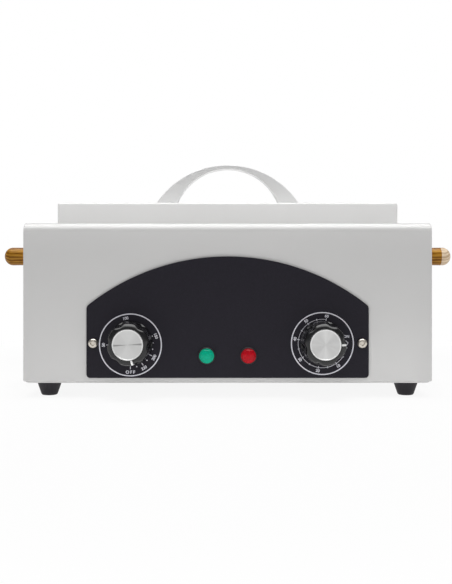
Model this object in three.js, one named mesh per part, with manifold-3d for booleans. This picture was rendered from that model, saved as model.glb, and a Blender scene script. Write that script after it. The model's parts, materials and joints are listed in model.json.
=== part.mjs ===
// Dry heat sterilizer: a painted steel casing with a lift-off lid over a stainless chamber.
// Millimetres, +Z up, X to the right, Y to the back. Places are counted from the middle of the
// casing's front face at the level of the bench, and the last lines centre the whole object.

import * as THREE from 'three';
import Module from 'manifold-3d';
import { mergeVertices } from 'three/addons/utils/BufferGeometryUtils.js';

const wasm = await Module();
wasm.setup();

// Clearances
const seat = 0.3;
const overrun = 2;
const shaftClearance = 0.3;
const panelHoleClearance = 0.3;

// Steps of rounded shapes
const cornerSteps = 2;
const edgeSteps = 2;
const roundSides = 24;
const smallSides = 12;
const wideRadius = 5;
const wireSides = 6;
const holeSides = 6;
const hexSides = 6;

// Casing
const bodyWidth = 375;
const bodyDepth = 200;
const footHeight = 13;
const casingWall = 1.2;
const topBendRadius = 8.5;
const bottomBendRadius = 3;
const sideBendRadius = 1.2;
const bottomFlange = 10;

// Base plate and feet
const basePlateThickness = 1.2;
const basePlateInset = 0.8;
const basePlateCorner = 3;
const ventLength = 30;
const ventWidth = 4;
const ventPitch = 12;
const ventCount = 5;
const ventRowOffset = 85;
const footInset = 20.3;
const footTopRadius = 11.35;
const footBottomRadius = 7.1;
const footRecessRadius = 4.5;
const footRecessDepth = 6;
const footScrewRadius = 2;
const footScrewHeadRadius = 3.8;
const footScrewHeadHeight = 2.2;
const footScrewTail = 5;
const baseScrewSpread = 45;
const baseScrewRadius = 1.75;
const baseScrewHeadRadius = 3.4;
const baseScrewHeadHeight = 1.9;
const baseScrewTail = 4;

// Front panel
const panelThickness = 1.5;
const panelHalfWidth = 129.2;
const panelBottomRise = 4.95;
const panelTopDrop = 30.8;
const panelArcRise = 45.7;
const panelCorner = 3.2;
const panelArcSteps = 20;
const panelScrewInset = 6.2;
const panelScrewRise = 36.7;
const panelScrewRadius = 2;
const panelScrewHeadRadius = 4.35;
const panelScrewHeadHeight = 2.6;
const panelScrewTail = 6;
const crossSlotWidth = 1.3;
const crossSlotLength = 5;
const crossSlotDepth = 1.5;

// Controls and their knobs
const dialInset = 41.5;
const dialShift = -0.9;
const dialRise = 37.1;
const knobReach = 27;
const knobGap = 0.8;
const skirtBrim = 0.3;
const skirtThickness = 3.2;
const gripRadius = 15.2;
const gripCrest = 3.6;
const gripCrestDrop = 5;
const gripFlare = 1.4;
const gripScoops = 6;
const gripScoopDepth = 1.8;
const gripScoopRadius = 5.5;
const scoopTurnDegrees = -12;
const knobRecessRadius = 10.5;
const knobRecessDepth = 6;
const knobBoreWeb = 2.8;
const capInset = 1.3;
const capThickness = 1.2;
const capSeatDepth = 0.6;
const knobScrewRadius = 1.5;
const knobScrewLength = 9;
const indexWidth = 1.5;
const indexHeight = 0.25;
const indexInset = 0.8;
const temperatureIndexDegrees = 167;
const timerIndexDegrees = 91;
const shaftRadius = 3;
const bushRadius = 5;
const bushReach = 4.6;
const bushNutRadius = 8.08;
const bushNutThickness = 3;
const controlPlateThickness = 1.6;
const shaftTail = 6;
const thermostatPlateWidth = 42;
const thermostatPlateHeight = 32;
const thermostatBodyWidth = 34;
const thermostatBodyHeight = 28;
const thermostatBodyDepth = 18;
const thermostatCupRadius = 13;
const thermostatCupDepth = 7;
const timerPlateWidth = 50;
const timerPlateHeight = 46;
const timerBodyWidth = 44;
const timerBodyHeight = 42;
const timerBodyDepth = 24;
const timerBellRadius = 15;
const timerBellDepth = 8;
const controlCorner = 3;
const controlHeadroom = 2.6;

// Indicator lamps
const lampOffset = 19.1;
const lampRise = 25.3;
const lampFlangeRadius = 7.9;
const lampFlangeThickness = 0.9;
const lampBarrelRadius = 6;
const lampBarrelLength = 26;
const lampLensRadius = 6.8;
const lampLensRim = 1.2;
const lampLensDome = 3.6;
const lampLensFaceRadius = 4.4;
const lampStemRadius = 4;
const lampStemLength = 5;
const lampTabWidth = 4.8;
const lampTabThickness = 0.8;
const lampTabLength = 7;
const lampTabOffset = 2.6;

// Chamber tank
const tankDepth = 62;
const tankWall = 0.8;
const tankCorner = 12;
const tankBottomRadius = 6;
const tankFlangeWidth = 6.2;
const tankFlangeGap = 3;
const tankFlangeThickness = 1;
const tankOpeningClearance = 1;

// Heating and insulation under and round the tank
const heaterPlateThickness = 4;
const heaterPlateMargin = 8;
const heaterRadius = 3.25;
const heaterEndInset = 22;
const heaterSideInset = 32;
const heaterBend = 9;
const heaterFloorGap = 0.6;
const heaterTail = 26;
const heaterSteps = 46;
const insulationSide = 20;
const insulationFloor = 10;
const insulationCorner = 8;
const shieldThickness = 0.8;
const shieldFlange = 9;
const passClearance = 5;
const bulbRadius = 3;
const bulbLength = 92;
const capillaryRadius = 1;
const capillaryBend = 8;
const capillarySteps = 28;
const cutoutRadius = 8.5;
const cutoutThickness = 5.5;
const cutoutOffset = 72;
const cutoutTabWidth = 5;
const cutoutTabLength = 7;
const cutoutTabThickness = 0.9;

// Terminal block and cable gland
const terminalWidth = 44;
const terminalBreadth = 18;
const terminalHeight = 14;
const terminalWays = 3;
const terminalPitch = 13;
const terminalHoleRadius = 2;
const terminalHoleDepth = 5;
const terminalFromBack = 34;
const glandInset = 57.5;
const glandRise = 27;
const glandHexRadius = 11;
const glandHexLength = 4;
const glandDomeRadius = 9.2;
const glandMouthRadius = 6.6;
const glandDomeLength = 6;
const glandThreadRadius = 7.2;
const glandThreadLength = 12;
const glandBoreRadius = 3.9;
const glandNutThickness = 3.5;

// Wooden side pegs
const pegDrop = 28.2;
const pegRadius = 9.1;
const pegFootFlare = 0.7;
const pegFootLength = 2.2;
const pegReach = 42;
const pegDome = 8.5;
const pegDomeSteps = 5;
const pegBoltRadius = 2.5;
const pegBoltDepth = 20;
const pegBoltHeadRadius = 4.6;
const pegBoltHeadHeight = 3;
const pegWasherRim = 1;
const pegWasherThickness = 1;

// Lid and its handle
const lidEndInset = 26.5;
const lidSideInset = 25;
const lidHeight = 20.4;
const lidWall = 1;
const lidCorner = 4;
const lidEdgeRadius = 2;
const linerWall = 0.8;
const linerClearance = 2.5;
const linerDepth = 8;
const linerEdgeRadius = 2.5;
const handleRise = 44;
const handleOuterRadius = 87.7;
const handleInnerRadius = 55.4;
const handleCrown = 3.5;
const handleBreadth = 14;
const handleEdge = 1.3;
const handleArcSteps = 24;
const handleScrewRadius = 2.5;
const handleScrewDepth = 11;
const handleScrewHeadRadius = 4.8;
const handleScrewHeadHeight = 2.8;
const headPocketClearance = 1;

// Instrument tray and its bails
const trayGap = 6;
const trayHeight = 27;
const trayWall = 1;
const trayCorner = 8;
const trayRim = 2;
const trayRimThickness = 1;
const trayRunnerHeight = 5;
const trayRunnerWidth = 5;
const trayRunnerEndInset = 24;
const trayRunnerSideInset = 26;
const trayHoleRadius = 3;
const trayHoleColumnPitch = 30;
const trayHoleRowPitch = 32;
const trayHoleEndMargin = 22;
const trayHoleSideMargin = 9.5;
const bailWireRadius = 1.25;
const bailFloorGap = 0.75;
const bailPivotBelowRim = 4;
const bailCornerGap = 1;
const bailSideGap = 0.7;
const bailEndReach = 1.5;
const bailBend = 3;
const bailSteps = 38;
const bailHoleClearance = 0.35;

// Levels from the bench upwards: each piece stands on the one below it
const bodyBottom = footHeight;
const basePlateTop = bodyBottom + basePlateThickness;
const shellBottom = basePlateTop + seat;
const dialHeight = bodyBottom + dialRise;
const lampHeight = bodyBottom + lampRise;
const panelScrewHeight = bodyBottom + panelScrewRise;
const glandHeight = bodyBottom + glandRise;
const tallestPlate = Math.max(thermostatPlateHeight, timerPlateHeight);
const shieldBottom = dialHeight + tallestPlate / 2 + controlHeadroom;
const shieldTop = shieldBottom + shieldThickness;
const insulationBottom = shieldTop + seat;
const insulationFloorTop = insulationBottom + insulationFloor;
const heaterSpace = heaterFloorGap + 2 * Math.max(heaterRadius, bulbRadius) + seat;
const heaterPlateBottom = insulationFloorTop + heaterSpace;
const heaterPlateTop = heaterPlateBottom + heaterPlateThickness;
const heaterLevel = heaterPlateBottom - seat - heaterRadius;
const tankFloor = heaterPlateTop + seat + tankWall;
const flangeTop = tankFloor + tankDepth;
const flangeBottom = flangeTop - tankFlangeThickness;
const bodyTop = flangeBottom - seat;
const insulationTop = bodyTop - casingWall - seat;
const panelCrown = bodyTop - panelTopDrop;
const panelShoulder = panelCrown - panelArcRise;
const pegHeight = bodyTop - pegDrop;
const lidBottom = bodyTop + seat;
const lidTop = lidBottom + lidHeight;
const linerFlangeBottom = flangeTop + seat;
const linerFlangeTop = linerFlangeBottom + linerWall;
const linerBottom = linerFlangeBottom - linerDepth;
const handleFoot = lidTop + seat;
const trayBottom = tankFloor + seat;
const trayFloor = trayBottom + trayRunnerHeight;
const trayTop = trayFloor + trayHeight;
const bailPivotHeight = trayTop - bailPivotBelowRim;
const bailDrop = trayHeight - trayWall - bailPivotBelowRim - bailWireRadius - bailFloorGap;

// Plan sizes from the casing inwards
const bodyHalfWidth = bodyWidth / 2;
const middleY = bodyDepth / 2;
const baseScrewX = bodyHalfWidth - bottomFlange / 2;
const baseScrewPlaces = [middleY - baseScrewSpread, middleY + baseScrewSpread];
const glandOffset = bodyHalfWidth - glandInset;
const panelFront = -seat - panelThickness;
const panelScrewOffset = panelHalfWidth - panelScrewInset;
const dialOffset = panelHalfWidth - dialInset;
const lidWidth = bodyWidth - 2 * lidEndInset;
const lidBreadth = bodyDepth - 2 * lidSideInset;
const tankInset = lidWall + tankFlangeGap + tankFlangeWidth + tankWall;
const tankWidth = lidWidth - 2 * tankInset;
const tankBreadth = lidBreadth - 2 * tankInset;
const tankOuterWidth = tankWidth + 2 * tankWall;
const tankOuterBreadth = tankBreadth + 2 * tankWall;
const heaterReach = tankWidth / 2 - heaterEndInset;
const heaterHalfSpan = tankBreadth / 2 - heaterSideInset;
const trayWidth = tankWidth - 2 * trayGap;
const trayBreadth = tankBreadth - 2 * trayGap;
const trayRunnerLength = trayWidth - 2 * trayRunnerEndInset;
const trayRunnerOffset = trayBreadth / 2 - trayRunnerSideInset;
const trayHoleColumns = 1 + Math.floor((trayWidth - 2 * trayHoleEndMargin) / trayHoleColumnPitch);
const trayHoleRows = 1 + Math.floor((trayBreadth - 2 * trayHoleSideMargin) / trayHoleRowPitch);
const bailPivotX = trayWidth / 2 - trayCorner - bailCornerGap - trayWall;

// Radii and reaches that follow from their neighbours
const gripCrestRadius = gripRadius + gripCrest;
const gripBackRadius = gripCrestRadius + gripFlare;
const skirtRadius = gripBackRadius + skirtBrim;
const capRadius = gripRadius - capInset;
const pegFootRadius = pegRadius + pegFootFlare;
const pegWasherRadius = pegFootRadius + pegWasherRim;
const handleOuterCentre = handleRise - handleOuterRadius;
const handleInnerCentre = handleRise - handleCrown - handleInnerRadius;
const frontReach = seat + panelThickness + knobReach;
const rearReach = seat + glandHexLength + glandDomeLength;

// Materials
const paint = (color, roughness) => new THREE.MeshStandardMaterial({ color, roughness, metalness: 0 });
const metal = (color, roughness) => new THREE.MeshStandardMaterial({ color, roughness, metalness: 1 });
const casingPaint = paint('#d9d8d5', 0.4);
const lidPaint = paint('#e2e1de', 0.38);
const handlePaint = paint('#e6e5e3', 0.35);
const panelPaint = paint('#26252a', 0.45);
const rubber = paint('#232326', 0.8);
const knobPlastic = paint('#1b1b1e', 0.35);
const wood = paint('#a4702c', 0.5);
const greenPlastic = paint('#10a782', 0.2);
const redPlastic = paint('#c40a1c', 0.2);
const blackPlastic = paint('#1d1d20', 0.5);
const palePlastic = paint('#e4dfd0', 0.5);
const fibre = paint('#ece8dc', 0.95);
const stainless = metal('#b9bbbd', 0.35);
const nickel = metal('#cfc8bd', 0.3);
const spunAluminium = metal('#d3d3d5', 0.35);
const plainSteel = metal('#8f9296', 0.45);
const copper = metal('#b87850', 0.4);

// Boolean joins and cuts
function solidOf(geometry) {
  const bare = geometry.index ? geometry.toNonIndexed() : geometry.clone();
  bare.deleteAttribute('normal');
  bare.deleteAttribute('uv');
  const merged = mergeVertices(bare);
  const vertProperties = Float32Array.from(merged.attributes.position.array);
  const triVerts = Uint32Array.from(merged.index.array);
  return new wasm.Manifold(new wasm.Mesh({ numProp: 3, vertProperties, triVerts }));
}

function geometryOf(solid) {
  const { vertProperties, triVerts } = solid.getMesh();
  const geometry = new THREE.BufferGeometry();
  geometry.setAttribute('position', new THREE.BufferAttribute(vertProperties, 3));
  geometry.setIndex(new THREE.BufferAttribute(triVerts, 1));
  const flat = geometry.toNonIndexed();
  flat.computeVertexNormals();
  return flat;
}

function cut(base, ...tools) {
  return geometryOf(tools.reduce((solid, tool) => solid.subtract(solidOf(tool)), solidOf(base)));
}

function join(base, ...others) {
  return geometryOf(others.reduce((solid, other) => solid.add(solidOf(other)), solidOf(base)));
}

function common(base, other) {
  return geometryOf(solidOf(base).intersect(solidOf(other)));
}

// Basic shapes
function box(x0, x1, y0, y1, z0, z1) {
  const geometry = new THREE.BoxGeometry(x1 - x0, y1 - y0, z1 - z0);
  return geometry.translate((x0 + x1) / 2, (y0 + y1) / 2, (z0 + z1) / 2);
}

function roundedOutline(x0, x1, y0, y1, lowRadius, highRadius) {
  const shape = new THREE.Shape();
  const quarter = Math.PI / 2;
  shape.absarc(x1 - lowRadius, y0 + lowRadius, lowRadius, -quarter, 0);
  shape.absarc(x1 - highRadius, y1 - highRadius, highRadius, 0, quarter);
  shape.absarc(x0 + highRadius, y1 - highRadius, highRadius, quarter, 2 * quarter);
  shape.absarc(x0 + lowRadius, y0 + lowRadius, lowRadius, 2 * quarter, 3 * quarter);
  return shape;
}

function centredOutline(width, height, radius) {
  return roundedOutline(-width / 2, width / 2, -height / 2, height / 2, radius, radius);
}

function extruded(shape, length) {
  const options = { depth: length, bevelEnabled: false, curveSegments: cornerSteps };
  return new THREE.ExtrudeGeometry(shape, options);
}

function alongX(shape, x0, x1) {
  const turn = new THREE.Matrix4().makeBasis(
    new THREE.Vector3(0, 1, 0), new THREE.Vector3(0, 0, 1), new THREE.Vector3(1, 0, 0));
  return extruded(shape, x1 - x0).applyMatrix4(turn).translate(x0, 0, 0);
}

function alongY(shape, y0, y1) {
  return extruded(shape, y1 - y0).rotateX(Math.PI / 2).translate(0, y1, 0);
}

function alongZ(shape, z0, z1) {
  return extruded(shape, z1 - z0).translate(0, 0, z0);
}

// A block with rounded upright corners, whose top or bottom edge is rounded too
function softBlock(width, breadth, z0, z1, corner, edge, roundedEnd) {
  const inner = Math.max(corner - edge, edge / 2);
  const shape = centredOutline(width - 2 * edge, breadth - 2 * edge, inner);
  const spare = edge + overrun;
  const height = z1 - z0 + spare;
  const options = {
    depth: height - 2 * edge,
    bevelThickness: edge,
    bevelSize: edge,
    bevelSegments: edgeSteps,
    curveSegments: cornerSteps,
  };
  const low = roundedEnd === 'top' ? z0 - spare : z0;
  const block = new THREE.ExtrudeGeometry(shape, options).translate(0, 0, low + edge);
  const wide = width / 2 + overrun;
  const deep = breadth / 2 + overrun;
  const trim = roundedEnd === 'top'
    ? box(-wide, wide, -deep, deep, z0 - spare - overrun, z0)
    : box(-wide, wide, -deep, deep, z1, z1 + spare + overrun);
  return cut(block, trim);
}

// A turned piece: pairs of radius and height along the given direction
function sidesOf(profile) {
  const widest = Math.max(...profile.map(([radius]) => radius));
  return widest > wideRadius ? roundSides : smallSides;
}

function turned(profile, direction, sides = sidesOf(profile)) {
  const points = profile.map(([radius, height]) => new THREE.Vector2(radius, height));
  const geometry = new THREE.LatheGeometry(points, sides);
  const quarter = Math.PI / 2;
  if (direction === 'up') return geometry.rotateX(quarter);
  if (direction === 'down') return geometry.rotateX(-quarter);
  if (direction === 'front') return geometry.rotateX(2 * quarter);
  if (direction === 'right') return geometry.rotateZ(-quarter);
  if (direction === 'left') return geometry.rotateZ(quarter);
  return geometry;
}

function rod(radius, from, to, direction, sides) {
  return turned([[0, from], [radius, from], [radius, to], [0, to]], direction, sides);
}

function hexNut(boreRadius, cornerRadius, from, to, direction) {
  const bore = rod(boreRadius, from - overrun, to + overrun, direction);
  return cut(rod(cornerRadius, from, to, direction, hexSides), bore);
}

// Points of an arc in the XZ plane, from one angle to another, counted from straight up
function arcPoints(radius, centre, from, to, steps) {
  const points = [];
  for (let i = 0; i <= steps; i += 1) {
    const angle = from + (to - from) * i / steps;
    points.push(new THREE.Vector2(radius * Math.sin(angle), centre + radius * Math.cos(angle)));
  }
  return points;
}

// A route of straight runs with rounded bends between them
function bentRoute(points, bend) {
  const route = new THREE.CurvePath();
  let start = points[0];
  for (let i = 1; i < points.length - 1; i += 1) {
    const corner = points[i];
    const back = points[i - 1].clone().sub(corner).setLength(bend).add(corner);
    const ahead = points[i + 1].clone().sub(corner).setLength(bend).add(corner);
    route.add(new THREE.LineCurve3(start, back));
    route.add(new THREE.QuadraticBezierCurve3(back, corner, ahead));
    start = ahead;
  }
  route.add(new THREE.LineCurve3(start, points[points.length - 1]));
  return route;
}

function wire(radius, route, steps) {
  const section = new THREE.Shape().absarc(0, 0, radius, 0, 2 * Math.PI);
  const options = { extrudePath: route, steps, bevelEnabled: false, curveSegments: wireSides / 2 };
  return new THREE.ExtrudeGeometry(section, options);
}

// Scene graph
const group = new THREE.Group();
const assembly = new THREE.Group();
assembly.position.y = -(bodyDepth + rearReach - frontReach) / 2;
group.add(assembly);

function add(name, geometry, material, x = 0, y = 0, z = 0) {
  const mesh = new THREE.Mesh(geometry, material);
  mesh.name = name;
  mesh.position.set(x, y, z);
  assembly.add(mesh);
}

const sides = [['left', -1], ['right', 1]];
const dials = [['temperature', -1], ['timer', 1]];

// Casing
function casingShell() {
  const inner = casingWall;
  const halfInside = bodyHalfWidth - inner;
  const profile = roundedOutline(0, bodyDepth, shellBottom, bodyTop, bottomBendRadius, topBendRadius);
  const front = roundedOutline(
    -bodyHalfWidth, bodyHalfWidth, shellBottom, bodyTop, bottomBendRadius, sideBendRadius);
  const hollow = roundedOutline(inner, bodyDepth - inner, shellBottom + inner, bodyTop - inner,
    bottomBendRadius - inner, topBendRadius - inner);
  const outside = common(
    alongX(profile, -bodyHalfWidth, bodyHalfWidth),
    alongY(front, -overrun, bodyDepth + overrun));
  const opening = centredOutline(
    tankOuterWidth + 2 * tankOpeningClearance,
    tankOuterBreadth + 2 * tankOpeningClearance,
    tankCorner + tankOpeningClearance);
  const floorCut = box(-bodyHalfWidth + bottomFlange, bodyHalfWidth - bottomFlange,
    bottomFlange, bodyDepth - bottomFlange, shellBottom - overrun, shellBottom + inner + overrun);
  const tools = [
    alongX(hollow, -halfInside, halfInside),
    floorCut,
    alongZ(opening, bodyTop - topBendRadius, bodyTop + overrun).translate(0, middleY, 0),
  ];
  const wallHole = (radius, x, z) => rod(radius, -overrun, inner + overrun, 'back').translate(x, 0, z);
  for (const [, side] of sides) {
    tools.push(wallHole(bushRadius + panelHoleClearance, side * dialOffset + dialShift, dialHeight));
    tools.push(wallHole(lampBarrelRadius + panelHoleClearance, side * lampOffset, lampHeight));
    tools.push(wallHole(panelScrewRadius + panelHoleClearance, side * panelScrewOffset, panelScrewHeight));
    tools.push(rod(pegBoltRadius + panelHoleClearance, halfInside - overrun, bodyHalfWidth + overrun,
      side > 0 ? 'right' : 'left').translate(0, middleY, pegHeight));
    for (const y of baseScrewPlaces) {
      tools.push(rod(baseScrewRadius + panelHoleClearance, shellBottom - overrun,
        shellBottom + inner + overrun, 'up').translate(side * baseScrewX, y, 0));
    }
  }
  tools.push(rod(glandThreadRadius + panelHoleClearance, bodyDepth - inner - overrun,
    bodyDepth + overrun, 'back').translate(glandOffset, 0, glandHeight));
  add('casing_shell', cut(outside, ...tools), casingPaint);
}

function basePlate() {
  const width = bodyWidth - 2 * basePlateInset;
  const depth = bodyDepth - 2 * basePlateInset;
  const plate = alongZ(centredOutline(width, depth, basePlateCorner), bodyBottom, basePlateTop)
    .translate(0, middleY, 0);
  const tools = [];
  const hole = (radius, x, y) => {
    const pin = rod(radius + panelHoleClearance, bodyBottom - overrun, basePlateTop + overrun, 'up');
    tools.push(pin.translate(x, y, 0));
  };
  for (const [, side] of sides) {
    for (const y of [footInset, bodyDepth - footInset]) {
      hole(footScrewRadius, side * (bodyHalfWidth - footInset), y);
    }
    for (const y of baseScrewPlaces) hole(baseScrewRadius, side * baseScrewX, y);
    for (let i = 0; i < ventCount; i += 1) {
      const x = side * ventRowOffset + (i - (ventCount - 1) / 2) * ventPitch;
      tools.push(box(x - ventWidth / 2, x + ventWidth / 2, middleY - ventLength / 2,
        middleY + ventLength / 2, bodyBottom - overrun, basePlateTop + overrun));
    }
  }
  add('base_plate', cut(plate, ...tools), casingPaint);
}

function foot(name, x, y) {
  const bore = footScrewRadius + panelHoleClearance;
  const top = footHeight - seat;
  const profile = [
    [bore, footRecessDepth], [footRecessRadius, footRecessDepth], [footRecessRadius, 0],
    [footBottomRadius, 0], [footTopRadius, top], [bore, top], [bore, footRecessDepth],
  ];
  add(`foot_${name}`, turned(profile, 'up'), rubber, x, y);
  const headTop = footRecessDepth - seat;
  const screw = [
    [0, headTop - footScrewHeadHeight], [footScrewHeadRadius, headTop - footScrewHeadHeight],
    [footScrewHeadRadius, headTop], [footScrewRadius, headTop],
    [footScrewRadius, basePlateTop + footScrewTail], [0, basePlateTop + footScrewTail],
  ];
  add(`foot_screw_${name}`, turned(screw, 'up'), plainSteel, x, y);
}

function baseScrew(name, x, y) {
  const headTop = bodyBottom - seat;
  const tip = basePlateTop + casingWall + baseScrewTail;
  const profile = [
    [0, headTop - baseScrewHeadHeight], [baseScrewHeadRadius, headTop - baseScrewHeadHeight],
    [baseScrewHeadRadius, headTop], [baseScrewRadius, headTop], [baseScrewRadius, tip], [0, tip],
  ];
  add(`base_screw_${name}`, turned(profile, 'up'), plainSteel, x, y);
}

function underside() {
  for (const [name, side] of sides) {
    const footX = side * (bodyHalfWidth - footInset);
    foot(`front_${name}`, footX, footInset);
    foot(`back_${name}`, footX, bodyDepth - footInset);
    baseScrew(`front_${name}`, side * baseScrewX, baseScrewPlaces[0]);
    baseScrew(`back_${name}`, side * baseScrewX, baseScrewPlaces[1]);
  }
}

// Front panel with an arched top edge through its two shoulders and its crown
function frontPanel() {
  const bottom = bodyBottom + panelBottomRise;
  const arcRadius = (panelHalfWidth ** 2 + panelArcRise ** 2) / (2 * panelArcRise);
  const cornerX = panelHalfWidth - panelCorner;
  const halfArc = Math.asin(cornerX / arcRadius);
  const arc = arcPoints(arcRadius, panelCrown - arcRadius, halfArc, -halfArc, panelArcSteps);
  const shape = new THREE.Shape();
  const quarter = Math.PI / 2;
  shape.absarc(cornerX, bottom + panelCorner, panelCorner, -quarter, 0);
  shape.lineTo(panelHalfWidth, panelShoulder - panelCorner);
  shape.quadraticCurveTo(panelHalfWidth, panelShoulder, arc[0].x, arc[0].y);
  for (const point of arc.slice(1)) shape.lineTo(point.x, point.y);
  shape.quadraticCurveTo(-panelHalfWidth, panelShoulder, -panelHalfWidth, panelShoulder - panelCorner);
  shape.absarc(-cornerX, bottom + panelCorner, panelCorner, 2 * quarter, 3 * quarter);
  const tools = [];
  const hole = (radius, x, z) => {
    const pin = rod(radius + panelHoleClearance, panelFront - overrun, overrun, 'back');
    tools.push(pin.translate(x, 0, z));
  };
  for (const [, side] of sides) {
    hole(bushRadius, side * dialOffset + dialShift, dialHeight);
    hole(lampBarrelRadius, side * lampOffset, lampHeight);
    hole(panelScrewRadius, side * panelScrewOffset, panelScrewHeight);
  }
  add('front_panel', cut(alongY(shape, panelFront, -seat), ...tools), panelPaint);
}

function panelScrew(name, side) {
  const headBack = seat;
  const headFront = seat + panelScrewHeadHeight;
  const profile = [
    [0, -panelThickness - seat - casingWall - panelScrewTail],
    [panelScrewRadius, -panelThickness - seat - casingWall - panelScrewTail],
    [panelScrewRadius, headBack], [panelScrewHeadRadius, headBack],
    [panelScrewHeadRadius, (headBack + headFront) / 2],
    [(panelScrewRadius + panelScrewHeadRadius) / 2, headFront], [0, headFront],
  ];
  const across = crossSlotLength / 2;
  const thin = crossSlotWidth / 2;
  const slotBack = -headFront + crossSlotDepth;
  const slot = (halfX, halfZ) => box(-halfX, halfX, -headFront - overrun, slotBack, -halfZ, halfZ);
  const screw = cut(turned(profile, 'front'), slot(across, thin), slot(thin, across));
  add(`panel_screw_${name}`, screw, nickel, side * panelScrewOffset, panelFront, panelScrewHeight);
}

// Lamps: a holder pushed in from the front, and a domed lens on it
function lamp(name, side, lensMaterial) {
  const backFace = seat;
  const frontFace = backFace + lampFlangeThickness;
  const barrelBack = frontFace - lampBarrelLength;
  const bore = lampStemRadius + panelHoleClearance;
  const boreEnd = frontFace - lampStemLength - seat;
  const holder = turned([
    [0, barrelBack], [lampBarrelRadius, barrelBack], [lampBarrelRadius, backFace],
    [lampFlangeRadius, backFace], [lampFlangeRadius, frontFace], [bore, frontFace],
    [bore, boreEnd], [0, boreEnd],
  ], 'front');
  const tab = (x) => box(x - lampTabThickness / 2, x + lampTabThickness / 2,
    -barrelBack - overrun, -barrelBack + lampTabLength, -lampTabWidth / 2, lampTabWidth / 2);
  const x = side * lampOffset;
  add(`${name}_lamp_holder`, join(holder, tab(-lampTabOffset), tab(lampTabOffset)), blackPlastic,
    x, panelFront, lampHeight);
  const lensBack = frontFace + seat;
  const rim = lensBack + lampLensRim;
  const lens = turned([
    [0, lensBack - lampStemLength], [lampStemRadius, lensBack - lampStemLength],
    [lampStemRadius, lensBack], [lampLensRadius, lensBack], [lampLensRadius, rim],
    [lampLensFaceRadius, lensBack + lampLensDome], [0, lensBack + lampLensDome],
  ], 'front');
  add(`${name}_lamp_lens`, lens, lensMaterial, x, panelFront, lampHeight);
}

// Radius and height of a knob's outline, from its skirt over the crest of its grip to its front
function knobOutline(back, front) {
  const skirtFront = back + skirtThickness;
  const points = [[skirtRadius, back], [skirtRadius, skirtFront], [gripBackRadius, skirtFront]];
  for (let i = 0; i <= cornerSteps; i += 1) {
    const turn = Math.PI / 2 * i / cornerSteps;
    points.push([gripRadius + gripCrest * Math.cos(turn), front - gripCrestDrop * (1 - Math.sin(turn))]);
  }
  return points;
}

// The raised line that points at the dial, over the grip's crest
function indexRidge(back, front) {
  const crest = knobOutline(back, front).slice(2, -1);
  const outer = crest.map(([radius, height]) => new THREE.Vector2(-height, radius + indexHeight));
  const inner = crest.map(([radius, height]) => new THREE.Vector2(-height, radius - indexInset));
  return alongX(new THREE.Shape([...outer, ...inner.reverse()]), -indexWidth / 2, indexWidth / 2);
}

// A knob: skirt, scooped grip with an index ridge, hollow back and a bore for the shaft
function knob(name, side, indexDegrees) {
  const x = side * dialOffset + dialShift;
  const back = knobGap;
  const skirtFront = back + skirtThickness;
  const gripFront = knobReach - capThickness + capSeatDepth;
  const indexTurn = THREE.MathUtils.degToRad(indexDegrees);
  const scoopTurn = indexTurn + THREE.MathUtils.degToRad(scoopTurnDegrees);
  const outline = turned([[0, back], ...knobOutline(back, gripFront), [0, gripFront]], 'front');
  const scoops = [];
  for (let i = 0; i < gripScoops; i += 1) {
    scoops.push(rod(gripScoopRadius, skirtFront, gripFront + overrun, 'front')
      .translate(0, 0, gripCrestRadius - gripScoopDepth + gripScoopRadius)
      .rotateY(scoopTurn + 2 * Math.PI * i / gripScoops));
  }
  const index = indexRidge(back, gripFront).rotateY(indexTurn);
  const boreFront = gripFront - capSeatDepth - knobBoreWeb;
  const setScrewHole = rod(knobScrewRadius + shaftClearance, shaftRadius, skirtRadius, 'up')
    .translate(0, -(skirtFront + knobRecessDepth), 0);
  const body = cut(
    join(cut(outline, ...scoops), index),
    rod(knobRecessRadius, 0, knobRecessDepth, 'front'),
    rod(shaftRadius + shaftClearance, 0, boreFront, 'front'),
    rod(capRadius + seat, gripFront - capSeatDepth, gripFront + overrun, 'front'),
    setScrewHole);
  add(`${name}_knob`, body, knobPlastic, x, panelFront, dialHeight);
  const capBack = gripFront - capSeatDepth + seat;
  const cap = turned([
    [0, capBack], [capRadius, capBack], [capRadius, knobReach - capSeatDepth / 2],
    [capRadius - capSeatDepth / 2, knobReach], [0, knobReach],
  ], 'front');
  add(`${name}_knob_cap`, cap, spunAluminium, x, panelFront, dialHeight);
  const screwStart = shaftRadius + shaftClearance;
  add(`${name}_knob_set_screw`, rod(knobScrewRadius, screwStart, screwStart + knobScrewLength, 'up'),
    plainSteel, x, panelFront - skirtFront - knobRecessDepth, dialHeight);
  add(`${name}_shaft`, rod(shaftRadius, panelFront - shaftTail, boreFront - seat, 'front'),
    plainSteel, x, panelFront, dialHeight);
}

// A control behind the panel: mounting plate, body, round back, and a threaded bush with its nut
function control(name, side, plate, body, round) {
  const x = side * dialOffset + dialShift;
  const plateFront = casingWall + seat;
  const plateBack = plateFront + controlPlateThickness;
  const bodyBack = plateBack + body.depth;
  const roundBack = bodyBack + round.depth;
  const bushFront = -panelFront + bushReach;
  const solid = cut(
    join(
      alongY(centredOutline(plate.width, plate.height, controlCorner), plateFront, plateBack),
      alongY(centredOutline(body.width, body.height, controlCorner), plateBack - seat, bodyBack),
      rod(round.radius, bodyBack - seat, roundBack, 'back'),
      rod(bushRadius, -plateBack, bushFront, 'front')),
    rod(shaftRadius + shaftClearance, -plateBack - shaftTail - overrun, bushFront + overrun, 'front'));
  add(`${name}_body`, solid, plainSteel, x, 0, dialHeight);
  const nutBack = seat;
  const nut = hexNut(bushRadius + shaftClearance, bushNutRadius, nutBack, nutBack + bushNutThickness,
    'front');
  add(`${name}_bush_nut`, nut, nickel, x, panelFront, dialHeight);
}

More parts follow.
